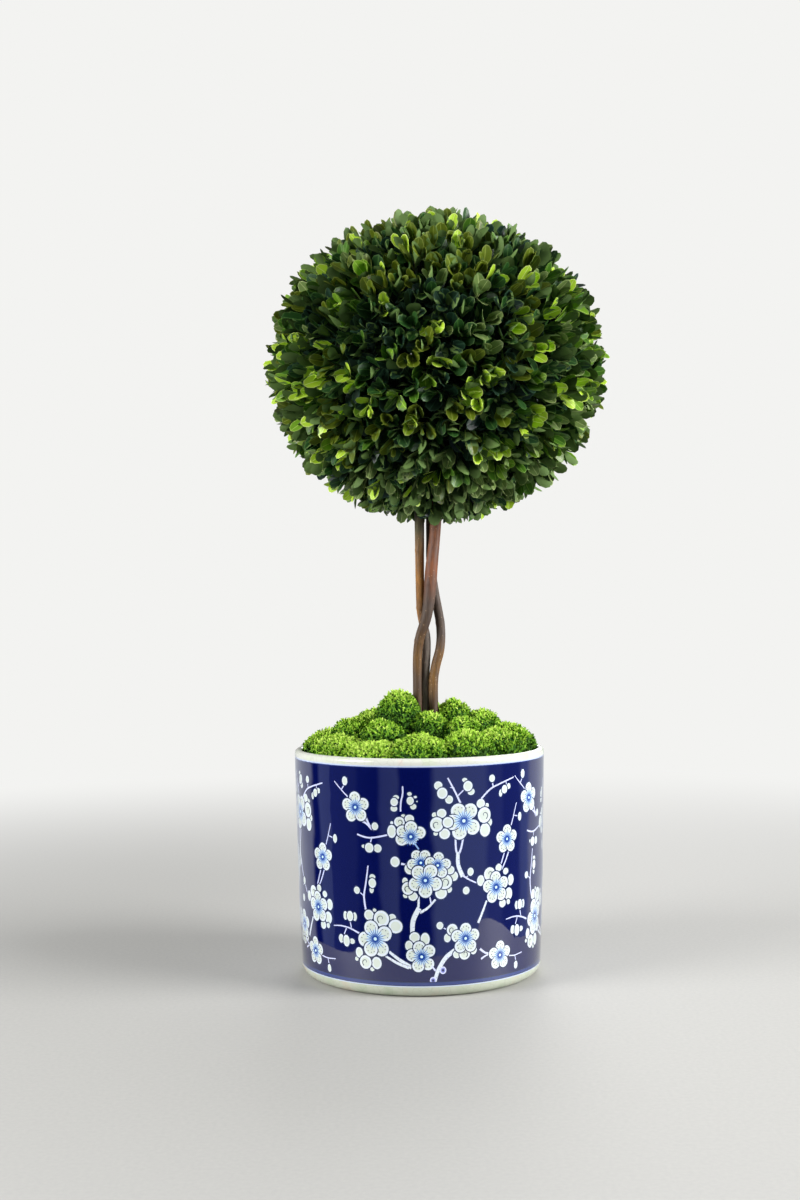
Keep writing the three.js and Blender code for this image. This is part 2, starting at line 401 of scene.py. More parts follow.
def smooth_line(points, steps):
    """Points along a Catmull-Rom line through the given points."""
    ends = [points[0], *points, points[-1]]
    line = []
    for a, b, c, d in zip(ends, ends[1:], ends[2:], ends[3:]):
        for t in [i / steps for i in range(steps)]:
            weights = (
                0.5 * (-t + 2 * t**2 - t**3),
                0.5 * (2 - 5 * t**2 + 3 * t**3),
                0.5 * (t + 4 * t**2 - 3 * t**3),
                0.5 * (-(t**2) + t**3),
            )
            line.append(tuple(sum(w * p[k] for w, p in zip(weights, (a, b, c, d))) for k in (0, 1)))
    return [*line, tuple(points[-1])]


# %% Motifs
LINE_WIDTH = 0.8
SMALL_PETAL = 2.4
SMALL_BUD = 1.9
PETAL_MIDDLE = 0.66
SPRAY_SPREAD = 0.98
SPRAY_SIZE = 1.12
DOT = 0.42
STAMENS = 22

# The parts of a flower, as shares of its size. Each wash is a star: how far its points and its
# notches reach, and how many points it has.
PETAL_REACH = 0.61
PETAL_SIZE = 0.425
DISC = 0.47
HAZE = (0.56, 0.4, 15)
WASH = (0.36, 0.23, 12)
STAMEN_START = 0.1
STAMEN_TIPS = (0.5, 0.64)
HEART = 0.15
EYE = 0.095

# Where the petals stand, in degrees, and the dots of each: the turn from its middle and the share out.
FIVE_TURNS = (18, 90, 162, 234, 306)
FLOWER_DOTS = ((-21, 0.7), (-7, 0.78), (8, 0.76), (20, 0.68))


def petal(u, z, wide, tall=None, curl=0):
    """A round petal or bud: a dark line round it, a white edge and a slightly greener middle."""
    tall = tall or wide
    corners = 12 if wide < SMALL_PETAL else 20
    half = LINE_WIDTH / 2
    paint("line", oval(u, z, wide + half, tall + half, corners))
    paint("white", oval(u, z, wide - half, tall - half, corners))
    if wide > SMALL_BUD:
        paint("petal", oval(u, z, wide * PETAL_MIDDLE, tall * PETAL_MIDDLE, corners - 6))
    if curl:
        paint("line", stroke(curl_line(u, z, wide, curl), 0.36, 0.14, 2))


def curl_line(u, z, size, side):
    """The hook that is drawn in a petal that curls over, to its right or its left side."""
    turns = [math.radians(a) for a in range(-60, 221, 40)]
    shrink = [size * (0.58 - 0.075 * i) for i in range(len(turns))]
    return [(u + side * s * math.cos(t), z + s * math.sin(t)) for t, s in zip(turns, shrink)]


def blossom(u, z, size, turns=FIVE_TURNS):
    """An open flower: five round petals that meet in a pale middle, blue stamens, dots, a bright eye."""
    for turn in turns:
        petal(*polar(u, z, PETAL_REACH * size, math.radians(turn)), PETAL_SIZE * size)
    paint("petal", oval(u, z, DISC * size, DISC * size, 18))
    for k, turn in enumerate(turns):
        for spread, far in FLOWER_DOTS:
            dot = polar(u, z, far * size, math.radians(turn + spread + 3 * (k % 2)))
            paint("line", oval(*dot, DOT, DOT, 6))
    for ink, (far, near, rays) in (("haze", HAZE), ("wash", WASH)):
        paint(ink, star(u, z, far * size, near * size, rays))
    for k in range(STAMENS):
        turn = 2 * math.pi * (k + 0.3) / STAMENS
        ends = [polar(u, z, far * size, turn) for far in (STAMEN_START, STAMEN_TIPS[k % 2])]
        paint("stamen", stroke(ends, 0.34, 0.14, 1))
    paint("stamen", oval(u, z, HEART * size, HEART * size, 12))
    paint("centre", oval(u, z, EYE * size, EYE * size, 8))


def star(u, z, far, near, rays):
    """A star outline, for a wash that fades out in points."""
    return [polar(u, z, near if i % 2 else far, math.pi * i / rays) for i in range(2 * rays)]


def twig(points, start=0.45, end=0.45):
    """A bare twig: one lavender white stroke."""
    paint("twig", stroke(points, start, end, 4))


def branch(points, start, end):
    """A thicker limb: a white stroke with short bluish marks across one side."""
    paint("line", stroke(points, start + 0.3, end + 0.3, 5))
    paint("white", stroke(points, start, end, 5))
    line = smooth_line(points, 5)
    for i in range(1, len(line) - 1, 2):
        half = (start + (end - start) * i / len(line)) * 0.9
        u, z = line[i]
        ahead = math.atan2(line[i + 1][1] - z, line[i + 1][0] - u)
        edge = polar(u, z, half, ahead + math.pi / 2)
        paint("shade", stroke([edge, (u + 0.1 * half, z - 0.2)], 0.22, 0.08, 1))


def knot(u, z, size):
    """A ring that marks a knot on a limb."""
    paint("twig", oval(u, z, size, size * 1.1, 14))
    paint("shade", oval(u, z, size - 0.9, size * 1.1 - 0.9, 12))
    paint("cobalt", oval(u, z, size * 0.34, size * 0.4, 8))


def spray(u, z, petals):
    """Petals of the flowers that stand behind, given from the middle of the one in front."""
    for across, up, wide, tall, *curl in petals:
        place = (u + across * SPRAY_SPREAD, z + up * SPRAY_SPREAD)
        petal(*place, wide * SPRAY_SIZE, tall * SPRAY_SIZE, *curl)


# %% The transfer: its upper half
def upper_sprays():
    """The single flower on the left, the small spray, the large spray and the flower on the right."""
    lay("first flower")
    twig([(-70, 159.5), (-64, 154), (-57.5, 148.5)], 0.35, 0.5)
    twig([(-63.2, 153.6), (-61, 156.6)])
    petal(-60, 160.3, 2.8, 3.8)
    twig([(-42.6, 134.8), (-39.5, 128.5), (-36, 124.5)], 0.8, 0.6)
    twig([(-46, 131.4), (-41.5, 129), (-37.5, 125)], 0.8, 0.6)
    blossom(-51, 141, 11.8, (22, 93, 166, 240, 310))
    petal(-35, 127.6, 3.0, 3.3)

    lay("middle spray")
    twig([(-49.7, 120.9), (-39, 118.8), (-24.5, 121.6)], 0.6, 0.65)
    twig([(-37.6, 119), (-38.8, 115)])
    spray(-39.9, 111.3, [(-4.7, 0.9, 1.7, 1.5), (6.9, -0.1, 3.1, 3.1), (0, 0, 3.5, 3.6)])

    twig([(-13.6, 157.8), (-13.6, 152), (-15, 146), (-15.3, 139)], 0.55, 0.6)
    spray(-20, 146, [(1.5, 3.6, 2.3, 1.8), (-0.2, -5, 2.6, 2.3), (0, 0, 2.8, 3.1)])
    spray(-8.1, 147, [(2.2, -4.4, 2.4, 2.2), (-0.5, 5.2, 1.9, 1.6), (0, 0, 2.7, 3.1)])
    spray(-3.8, 148.4, [(-0.6, 1.4, 1.5, 1.2), (0.6, -2, 0.8, 0.8)])
    paint("wash", stroke([(-7.9, 119.2), (-2.2, 111)], 0.75, 0.55, 2))
    behind = [(-8.4, 11.1, 3.9, 3.7, 1), (-0.9, 13.5, 3.4, 3.1), (-14.4, 3.9, 3.3, 4.7)]
    spray(-8, 120.4, [(-14.2, 10.4, 1.4, 1.4), (-5.5, 15.8, 1.7, 1.4), *behind])
    blossom(-8, 120.4, 11.6, (197, 147, 25, 88))

    lay("large high spray")
    twig([(19.5, 163.5), (24.5, 154), (30.3, 142)], 0.55, 0.75)
    twig([(27.2, 150), (31.5, 154)])
    twig([(21.2, 156.4), (24.5, 155.6)], 0.3, 0.4)
    spray(15.4, 152.3, [(-3, 5.8, 3.1, 3.2), (5.2, -5, 3.0, 3.1), (0, 0, 3.8, 4.1)])
    spray(35, 156.8, [(-2.6, 4.8, 2.1, 1.8), (2.6, -4.4, 2.9, 2.6), (0, 0, 3.6, 3.8)])
    left = [(-22.7, 5.4, 2.1, 2.1), (-21.9, -8.6, 1.9, 1.8), (-17.3, 6.5, 3.5, 3.4)]
    left += [(-15.1, -9.1, 4.0, 3.9), (-21, -1.8, 4.8, 5.2, -1)]
    right = [(22.2, -2.4, 2.1, 2.9), (19.4, 10.6, 1.9, 2.0), (14.1, 12.4, 3.5, 3.4)]
    right += [(17.8, -8, 4.3, 4.9), (17.2, 3.4, 5.3, 5.6, 1)]
    spray(31.8, 131, [*left, *right])
    twig([(25.3, 119), (25.4, 111), (27, 104)], 0.7, 0.8)
    twig([(31.2, 118.5), (29.5, 111), (27, 105)], 0.7, 0.8)
    blossom(31.8, 131, 14.3, (325, 55, 120, 247, 184))
    petal(31.8 - 12.3, 130.5, 4.4)

    lay("high twig")
    twig([(46, 146.7), (54, 153.6), (64, 157.2), (77, 160.6)], 0.7, 0.5)
    twig([(56.3, 155), (55.6, 158.4)])
    petal(55.3, 161.4, 3.0, 3.2)
    twig([(68.6, 158.6), (69.4, 155.6)], 0.35, 0.35)
    spray(67.2, 152.3, [(4.4, 2, 2.1, 2.3), (-3.8, -2.7, 1.9, 2.8), (0, 0, 2.8, 3.2)])

    lay("small flower")
    twig([(74.6, 124.5), (77.5, 132), (80.5, 141)], 0.5, 0.35)
    twig([(78.4, 131.4), (82, 130.6)], 0.35, 0.35)
    petal(84.8, 130, 2.5, 3.7)
    twig([(62, 92), (65.2, 99), (68, 106)], 0.55, 0.55)
    twig([(64.8, 92), (68.6, 98), (72.5, 106)], 0.55, 0.55)
    blossom(70.2, 114.4, 11)


# %% The transfer: its middle and its lower half
def middle_sprays():
    """The big spray in the middle, its limb, and the round spray on the right."""
    lay("middle branch")
    drop = laid_off("round spray")[1]
    branch([(27, 108), (27.2, 98.6), (30.8, 89.6)], 1.25, 1.7)
    twig([(30.8, 90.4), (37, 86.4 + drop / 2), (47, 82 + drop)], 0.7, 0.4)
    lay("loose buds")
    twig([(33.6, 88.8), (35.8, 90.8)], 0.35, 0.35)
    petal(37, 92.8, 2.9, 3.5)
    petal(33.5, 79, 3.1, 3.3)

    lay("big middle spray")
    petal(-20, 101.6, 3.9, 4.3)
    twig([(-15.4, 100.2), (-12, 99.6)], 0.9, 0.5)
    branch([(9.8, 73.6), (4, 67.4), (-1.8, 64)], 0.7, 1.0)
    branch([(-2.7, 76), (-2.8, 70), (-3.4, 65)], 0.7, 0.9)
    twig([(5.6, 75.5), (6.6, 70)], 0.5, 0.5)
    branch([(-2.4, 67.4), (-7, 58), (-7.6, 47)], 1.9, 1.6)
    right = [(21.8, 2.6, 3.3, 3.6), (18.9, 7.4, 3.4, 3.2), (18, -7.2, 2.4, 2.6)]
    right += [(11.9, -9.9, 4.3, 4.2), (14.7, -1.3, 5.4, 5.3, 1)]
    left = [(-15.4, -0.4, 2.2, 2.7), (-15, -11.4, 2.1, 2.0), (-9.4, -12, 3.5, 3.2)]
    left += [(-13.2, -5.9, 4.4, 4.6, -1), (-11.6, 9, 3.9, 4.1)]
    spray(2.4, 87.8, [*right, *left])
    blossom(-0.8, 101, 10.2, (120, 60, 190, 250, 0))
    blossom(11.7, 98.8, 10, (84, 10, 300, 156, 228))
    blossom(2.4, 87.8, 12.8, (200, 340, 270, 130, 60))

    ring = [(-14.4, 6.6, 3.2, 4.0), (2, 15, 3.0, 2.9), (9.4, 11.4, 2.8, 2.6)]
    ring += [(15, 4, 3.3, 4.2), (13, -6.6, 3.9, 4.6), (6.4, -13, 3.3, 3.2)]
    ring += [(12.6, -12.6, 2.0, 2.2), (-6.6, 11, 4.7, 4.8, 1)]
    lay("round spray")
    branch([(50.9, 70), (47, 61.5), (43.4, 54)], 0.7, 1.0)
    spray(59.7, 79, ring)
    blossom(59.7, 79, 12.2, (96, 22, 168, 312, 240))


def lower_sprays():
    """The large spray on the left, the two along the foot and the small flower on the right."""
    lay("tall twig")
    twig([(-41.2, 97.8), (-43.4, 84), (-45, 74), (-43.2, 62)], 0.5, 0.8)
    twig([(-48.4, 77.4), (-45, 75)])
    petal(-51, 78.8, 3.0, 3.1)
    spray(-38, 85, [(0.1, 4.7, 2.5, 2.2), (-0.6, -5.2, 1.9, 2.6), (0, 0, 3.0, 3.6)])
    lay("left buds")
    twig([(-74.5, 49.6), (-66, 50.4), (-58, 49.4), (-48.5, 46)], 0.35, 0.7)
    twig([(-57.9, 54.6), (-56.8, 50)])
    spray(-57.9, 58.6, [(-4.5, 0, 2.1, 3.3), (4.4, 0, 2.1, 3.3), (0, 0, 3.0, 3.8)])
    twig([(-63.8, 44.5), (-61.5, 49.2)])
    spray(-61.8, 39.6, [(-5.2, 1.2, 2.6, 3.3), (5.4, 0.2, 2.6, 2.2), (0, 0, 3.1, 4.3)])
    lay("large low spray")
    branch([(-27, 35.4), (-18, 28.8), (-8.5, 23)], 0.85, 1.5)
    branch([(-29, 31.4), (-20, 26.4), (-10.5, 22.8)], 0.8, 1.2)
    above = [(-4.8, 18, 3.9, 3.9), (0, 22, 1.7, 1.5), (14, 17.2, 2.9, 2.7)]
    above += [(16.6, 10.4, 5.1, 5.0), (5.4, 15.8, 5.8, 5.8, -1)]
    below = [(-16.4, -16.6, 1.7, 1.8), (-3, -23.4, 1.9, 1.7), (-14, -11.4, 3.1, 3.9)]
    below += [(0.8, -18.4, 3.9, 4.5), (-8.6, -18.4, 4.8, 4.9, -1)]
    spray(-36.5, 43.3, [*above, *below])
    blossom(-36.5, 43.3, 14.2, (186, 112, 30, 305, 244))

    lay("foot sprays")
    spray(-0.9, 31, [(-5.2, 14.8, 3.9, 3.9), (2.8, 13.4, 3.4, 4.7), (-9.6, 8.5, 3.0, 3.7)])
    blossom(-0.9, 31, 11.8, (171, 104, 38, 312, 249))

    twig([(6.6, 24.4), (8.4, 21.8), (10.8, 19.6)], 0.45, 0.8)
    branch([(25, 35.4), (18, 30.5), (13.6, 24.5), (10.6, 18.5), (8.6, 11.5)], 1.7, 1.3)
    knot(15.2, 20.6, 2.6)
    knot(7.6, 13.2, 2.5)
    twig([(15.6, 52.2), (20, 50)], 0.35, 0.45)
    petal(13, 54, 3.0, 3.2)
    ring = [(-14.6, 1.3, 2.7, 3.3), (-7.2, -11.6, 3.0, 3.0), (6.6, -9.4, 2.8, 3.3)]
    spray(33, 43.3, [*ring, (-10.8, 7.3, 4.1, 4.3, -1), (-0.7, -11.9, 4.2, 4.1, 1)])
    blossom(33, 43.3, 11.6)

    lay("last flower")
    twig([(45, 34.4), (49.5, 31), (54.5, 30)], 0.9, 0.5)
    twig([(46, 26.6), (50, 28.6), (54, 29.6)], 0.7, 0.5)
    twig([(73.5, 25.4), (80, 24.6), (89.5, 25.4)], 0.5, 0.35)
    twig([(80.4, 24.4), (81.6, 20.4)], 0.35, 0.35)
    petal(81.8, 17, 2.5, 3.4)
    blossom(63.7, 27.3, 11)


def border_bands():
    """The pale line under the rim and the double line above the foot, all the way round."""
    steps = [WALL_START + PANEL * i / GRID_STEPS for i in range(-1, 4 * GRID_STEPS + 2)]
    brush["u"] = brush["z"] = 0.0
    for ink, low, high in BANDS:
        paint(ink, [(u, low) for u in steps] + [(u, high) for u in steps[::-1]])


GRID_STEPS = 30
WALL_START = -1.5 * PANEL
WALL_END = 2.5 * PANEL
BANDS = [
    ("line", HEEL_RISE + 3.4, HEEL_RISE + 4.0),
    ("band", HEEL_RISE + 1.2, HEEL_RISE + 3.4),
    ("line", HEEL_RISE + 0.7, HEEL_RISE + 1.2),
    ("edge", HEEL_RISE, HEEL_RISE + 0.7),
    ("band", RIM_LINE - 1.7, RIM_LINE - 1.1),
    ("edge", RIM_LINE - 1.1, RIM_LINE),
]
for side in SIDES:
    brush["side"] = side
    upper_sprays()
    middle_sprays()
    lower_sprays()
border_bands()
print(len(layers), "shapes round the pot")

# %% [markdown]
# Cutting all the outlines into one flat sheet of triangles is a job for a constrained Delaunay
# triangulation. It returns, for each triangle, the shapes that it lies in. A grid of plain points is
# added so that no triangle is too wide to follow the round wall. A shape that crosses one end of the
# sheet is given again at the other end, so that the ends meet at the back.

# %% Cut the picture into the wall
GRID_ROWS = 14
CUT_TOLERANCE = 1e-5


def cut_sheet():
    """Points on the unrolled wall, triangles, and the ink of each triangle."""
    points = []
    outlines = []
    inks = []
    for ink, outline in layers:
        for turn in (-4 * PANEL, 0, 4 * PANEL):
            moved = [(u + turn, min(max(z, HEEL_RISE), RIM_LINE)) for u, z in outline]
            if max(u for u, z in moved) < WALL_START or min(u for u, z in moved) > WALL_END:
                continue
            outlines.append(list(range(len(points), len(points) + len(moved))))
            points += moved
            inks.append(ink)
    edges = []
    for i in range(4 * GRID_STEPS + 1):
        for j in range(GRID_ROWS + 1):
            height = HEEL_RISE + (RIM_LINE - HEEL_RISE) * j / GRID_ROWS
            points.append((WALL_START + PANEL * i / GRID_STEPS, height))
            if i in (0, 4 * GRID_STEPS) and j:
                edges.append((len(points) - 2, len(points) - 1))
    flat = delaunay_2d_cdt([Vector(p) for p in points], edges, outlines, 0, CUT_TOLERANCE, True)
    flat_points = np.array([tuple(v) for v in flat[0]])
    triangles = np.array(flat[2])
    top = np.array([inks[max(found)] if found else 0 for found in flat[5]])
    middle = flat_points[triangles].mean(1)
    kept = (middle[:, 0] > WALL_START) & (middle[:, 0] < WALL_END)
    kept &= (middle[:, 1] > HEEL_RISE) & (middle[:, 1] < RIM_LINE)
    return flat_points, triangles[kept], top[kept]


sheet_points, sheet_triangles, sheet_inks = cut_sheet()
print(len(sheet_points), "points and", len(sheet_triangles), "triangles in the sheet")

# %% [markdown]
# ## The pot: finish
#
# Cobalt and the white shapes lie under one clear glaze, so all of them share its gloss: a thick clear
# coat with a roughness under 0.1 over a smooth fired ground, and only the colour changes. The glaze is
# fired on, and its skin has faint dimples some millimetres apart. The rim and the foot are the same clay
# with a cream glaze that has crazed: a net of hair cracks a few millimetres wide, stained a little, with
# patches that fired greener or pinker.

# %% Glaze finishes
INK_COLOURS = {
    "cobalt": "#050d4a",
    "white": "#dbe4ed",
    "petal": "#d1dbd1",
    "line": "#1b2a4c",
    "stamen": "#1c4396",
    "wash": "#8fb2e0",
    "haze": "#bcd8f0",
    "centre": "#d2f2fb",
    "twig": "#d2d8f5",
    "shade": "#8289cf",
    "edge": "#c3cfe9",
    "band": "#2c3c78",
    "inside": "#e4e2cc",
}


def dimples(tree, shader, apart, depth, rough_low, rough_high):
    """Faint dimples this many millimetres apart in a fired surface, with a roughness that varies."""
    skin = spots(tree, object_place(tree), apart)
    finish = {"Roughness": gloss(tree, skin, rough_low, rough_high), "Normal": bump(tree, skin, depth, 1)}
    connect(tree, shader, finish)


def underglaze(ink):
    """One colour under the clear glaze of the wall."""
    values = {"Base Color": INK_COLOURS[ink], "IOR": 1.5}
    values |= {"Coat Weight": 1.0, "Coat IOR": 1.55, "Coat Roughness": 0.03}
    made, tree, shader = new_material("glaze_" + ink, values)
    dimples(tree, shader, 9, 0.05, 0.035, 0.08)
    return made


def crazed_cream(name, cream, green, pink, crack):
    """Cream glaze with hair cracks a few millimetres apart and patches of two other tints."""
    made, tree, shader = new_material(name, {"IOR": 1.5})
    place = object_place(tree)
    patch = spots(tree, place, 22, 3.0)
    tint = ramp(tree, patch, [(0.36, green), (0.47, cream), (0.55, cream), (0.66, pink)])
    wander = spots(tree, place, 6, output="Color")
    moved = mix(tree, 0.003, place, wander, blend_type="ADD")
    hair = remap(tree, cells(tree, moved, 7, feature="DISTANCE_TO_EDGE"), (0.0, 0.05), (0.16, 0.0))
    connect(tree, shader, {"Base Color": mix(tree, hair, tint, crack)})
    dimples(tree, shader, 7, 0.08, 0.08, 0.18)
    return made


glazes = [underglaze(ink) for ink in INKS]
rim_glaze = crazed_cream("crazed_cream_rim", "#d2d4c9", "#cad3bb", "#dac8bf", "#837a64")
# The foot's cream is the rim's cream made darker and greener, as painted shade near the table.
shaded_foot_glaze = crazed_cream("crazed_cream_foot_painted_shade", "#b9bfae", "#aab59e", "#bdb6a3", "#766d55")
print(len(glazes), "colours under the clear glaze")


# %% Pot wall
SEAM_TOLERANCE = 2e-4
EDGE_TOLERANCE = 1e-3


def rolled_sheet():
    """Angle and height of each point of the sheet rolled up, with its triangles and their inks."""
    angles = sheet_points[:, 0] / PRINT_RADIUS % (2 * math.pi)
    rounded = np.round(np.stack([angles, sheet_points[:, 1]], -1), 4)
    rounded[abs(rounded[:, 0] - 2 * math.pi) < SEAM_TOLERANCE, 0] = 0
    spread, where = np.unique(rounded, axis=0, return_inverse=True)
    triangles = where.ravel()[sheet_triangles]
    whole = (triangles[:, 0] != triangles[:, 1]) & (triangles[:, 1] != triangles[:, 2])
    whole &= triangles[:, 0] != triangles[:, 2]
    return spread, triangles[whole], sheet_inks[whole]


def edge_loop(spread, triangles, height):
    """The points of the rolled sheet at this height, in order round the pot."""
    found = np.flatnonzero(abs(spread[:, 1] - height) < EDGE_TOLERANCE)
    found = found[np.isin(found, triangles)]
    return found[np.argsort(spread[found, 0])]


def build_wall():
    """The wall as a closed ring: the picture outside, plain cream inside."""
    spread, triangles, inks = rolled_sheet()
    parts = [wall_point(spread[:, 0], spread[:, 1])]
    low, high = [edge_loop(spread, triangles, height) for height in (HEEL_RISE, RIM_LINE)]
    print("loops of", len(low), "and", len(high), "points close the wall")
    for loop, height in ((low, HEEL_RISE), (high, RIM_LINE)):
        inner = wall_radius(height) - WALL
        angle = spread[loop, 0]
        parts.append(np.stack([inner * np.sin(angle), -inner * np.cos(angle), angle * 0 + height], -1) * MM)
    points = np.concatenate(parts)
    low_in = len(spread) + np.arange(len(low))
    high_in = low_in + len(low)
    pairs = ((high, high_in), (high_in, low_in), (low_in, low))
    quads = np.concatenate([np.stack([a, np.roll(a, -1), np.roll(b, -1), b], -1) for a, b in pairs])
    faces = np.concatenate([triangles, quads[:, :3], quads[:, [0, 2, 3]]])
    slots = np.concatenate([inks, np.full(2 * len(quads), len(glazes))])
    wall = make_piece("pot_wall", points, faces, [*glazes, underglaze("inside")], "pot_glaze", slots)

    # The picture's cuts must not show in the gloss, so its corners face as the smooth wall does.
    normals = np.repeat(triangle_sizes(points, faces)[2][:, None], 3, 1)
    normals[: len(triangles)] = wall_normal(spread[:, 0], spread[:, 1])[triangles]
    wall.data.normals_split_custom_set(normals.reshape(-1, 3))
    return wall


def turn_profile(name, profile, materials, slot_of_ring, smooth_angle=50):
    """A closed solid turned round the upright axis from radius and height pairs in millimetres."""
    turns = np.linspace(0, 2 * math.pi, TURN_STEPS, endpoint=False)
    rings = []
    points = []
    for radius, height in profile:
        rings.append(len(points))
        ring = [(radius * math.sin(t) * MM, -radius * math.cos(t) * MM, height * MM) for t in turns]
        points += ring if radius else [(0, 0, height * MM)]
    faces = []
    slots = []
    closed = profile[0][0] > 0
    for i in range(len(profile) - (0 if closed else 1)):
        j = (i + 1) % len(profile)
        for k in range(TURN_STEPS):
            n = (k + 1) % TURN_STEPS
            a = [rings[i] + k, rings[i] + n] if profile[i][0] else [rings[i]]
            b = [rings[j] + n, rings[j] + k] if profile[j][0] else [rings[j]]
            faces.append(a + b)
            slots.append(slot_of_ring(i))
    return make_piece(name, points, faces, materials, "pot_glaze", slots, sharp=smooth_angle)


def arc(centre, size, start, end, steps):
    """Points of an elliptic arc, angles in degrees."""
    turns = [math.radians(start + (end - start) * i / steps) for i in range(steps + 1)]
    return [(centre[0] + size[0] * math.cos(t), centre[1] + size[1] * math.sin(t)) for t in turns]


pot_wall = build_wall()
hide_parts("pot")
lip_radius = WALL / 2
lip = arc((RIM_RADIUS - lip_radius, POT_HEIGHT - lip_radius), (lip_radius, lip_radius), 0, 180, 12)
rim_outer = float(wall_radius(RIM_LINE))
rim_profile = [(rim_outer - WALL, RIM_LINE), (rim_outer, RIM_LINE), *lip]
turn_profile("pot_rim", rim_profile, [rim_glaze], lambda ring: 0)

# %% [markdown]
# The foot is the one place with no glaze: a ring wiped clean, so that the pot does not stick to the
# kiln shelf. It shows as matt, sandy clay.

# %% Pot foot
CLAY_RING = 9
CLAY_STEPS = 2


def bisque_clay():
    """Unglazed stoneware: matt, with a grain of fine sand about a millimetre wide."""
    made, tree, shader = new_material("bisque_stoneware", {"Roughness": 0.85, "IOR": 1.45})
    sand = spots(tree, object_place(tree), 1.2, 6.0)
    colour = ramp(tree, sand, [(0.3, "#b9a98a"), (0.7, "#d3c6a8")])
    connect(tree, shader, {"Base Color": colour, "Normal": bump(tree, sand, 0.3, 0.4)})
    return made


heel = arc((FOOT_RADIUS, HEEL_RISE), (HEEL_RADIUS - FOOT_RADIUS, HEEL_RISE), -90, 0, 10)
foot_profile = [(0, 0), (FOOT_RADIUS - CLAY_RING, 0), *heel, (0, HEEL_RISE)]
foot_finishes = [bisque_clay(), shaded_foot_glaze]
turn_profile("pot_foot", foot_profile, foot_finishes, lambda ring: int(ring >= CLAY_STEPS))

# %% [markdown]
# ## The stems
#
# The three stems are lengths of vine with a thin, smooth, dried bark: golden brown where it is rubbed,
# grey brown where the outer skin is left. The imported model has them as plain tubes. Slicing those tubes
# gives the middle line and the thickness at each height, so the finer mesh can't drift off them. Bark
# relief is real here: shallow ridges that run with the stem, and the swollen rings of old leaf joints.

# %% Middle lines of the stems
STEM_STEP = 1.1 * MM
STEM_ENDS = 1.5 * MM
LINE_BLUR = 4
RADIUS_BLUR = 8
STEMS = ["stem_left", "stem_front", "stem_right"]


def middle_line(node, step):
    """Points along the middle of an upright tube, and its radius at each, in metres."""
    points, triangles = node_mesh(node)
    edges = np.concatenate([triangles[:, [0, 1]], triangles[:, [1, 2]], triangles[:, [2, 0]]])
    low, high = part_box(node)
    line = []
    radii = []
    for height in np.arange(low.z + STEM_ENDS, high.z - STEM_ENDS, step):
        above = points[edges][:, :, 2] > height
        crossing = points[edges[above[:, 0] != above[:, 1]]]
        share = (height - crossing[:, 0, 2]) / (crossing[:, 1, 2] - crossing[:, 0, 2])
        cut = crossing[:, 0] + share[:, None] * (crossing[:, 1] - crossing[:, 0])
        line.append(cut.mean(0))
        radii.append(np.linalg.norm(cut - cut.mean(0), axis=1).max())
    return blur(np.array(line), LINE_BLUR), blur(np.array(radii), RADIUS_BLUR)


def blur(values, width):
    """A running mean, with the ends kept."""
    kernel = np.ones(2 * width + 1) / (2 * width + 1)
    columns = values.reshape(len(values), -1)
    padded = np.pad(columns, ((width, width), (0, 0)), mode="reflect", reflect_type="odd")
    mean = np.stack([np.convolve(column, kernel, "valid") for column in padded.T], -1)
    return mean.reshape(values.shape)


stem_lines = {name: middle_line(name, STEM_STEP) for name in STEMS}
for name, (line, radii) in stem_lines.items():
    print(name, "radius from", round(radii[0] / MM, 2), "to", round(radii[-1] / MM, 2), "mm")

# %% [markdown]
# A tube round a line needs a pair of directions square to the line at each point. Carrying one pair
# along from point to point keeps the tube from twisting.


# %% Tubes
def side_directions(line):
    """The way a line runs at each point and two directions square to it, carried along without twist."""
    along = np.gradient(line, axis=0)
    along /= np.linalg.norm(along, axis=1, keepdims=True)
    first = np.cross(along[0], (0.0, 1.0, 0.2) if abs(along[0][1]) < 0.8 else (1.0, 0.0, 0.2))
    across = []
    for direction in along:
        first = first - direction * (first @ direction)
        first = first / np.linalg.norm(first)
        across.append(first)
    across = np.array(across)
    return along, across, np.cross(along, across)


def tube(line, radii, sides):
    """Points and triangles of a closed tube, with a radius for each point or for each side of it."""
    along, across, other = side_directions(line)
    turns = np.arange(sides) * 2 * math.pi / sides
    radii = np.asarray(radii).reshape(len(line), -1, 1)
    ring = across[:, None] * np.cos(turns)[None, :, None] + other[:, None] * np.sin(turns)[None, :, None]
    points = (line[:, None] + ring * radii).reshape(-1, 3)
    start = np.arange(len(line) - 1)[:, None] * sides
    k = np.arange(sides)[None]
    n = (k + 1) % sides
    lower = np.stack([start + k, start + n, start + sides + n], -1).reshape(-1, 3)
    upper = np.stack([start + k, start + sides + n, start + sides + k], -1).reshape(-1, 3)
    foot = len(points)
    last = foot - sides
    foot_cap = np.stack([n[0], k[0], np.full(sides, foot)], -1)
    tip_cap = np.stack([last + k[0], last + n[0], np.full(sides, foot + 1)], -1)
    ends = np.array([line[0], line[-1]])
    return np.concatenate([points, ends]), np.concatenate([lower, upper, foot_cap, tip_cap])


# %% Vine bark
GOLD = "#a26e2e"
DULL_GOLD = "#7a5522"
RED = "#7f4825"
BROWN = "#533a22"
GREY = "#524338"
ASH = "#85786e"
MOSSY = "#4f4829"
SKIN = "#40342d"
CRACK = "#2e2018"
FRECKLE = "#c3a27a"
BARK_LOW = 200.0
BARK_HIGH = 400.0
BARK = {
    "stem_left": [(225, ASH), (268, ASH), (285, GOLD), (330, GOLD), (352, MOSSY)],
    "stem_front": [(228, BROWN), (250, DULL_GOLD), (272, BROWN), (292, GREY), (318, RED), (345, RED)],
    "stem_right": [(215, BROWN), (232, DULL_GOLD), (252, DULL_GOLD), (268, GREY), (300, GREY), (340, BROWN)],
}


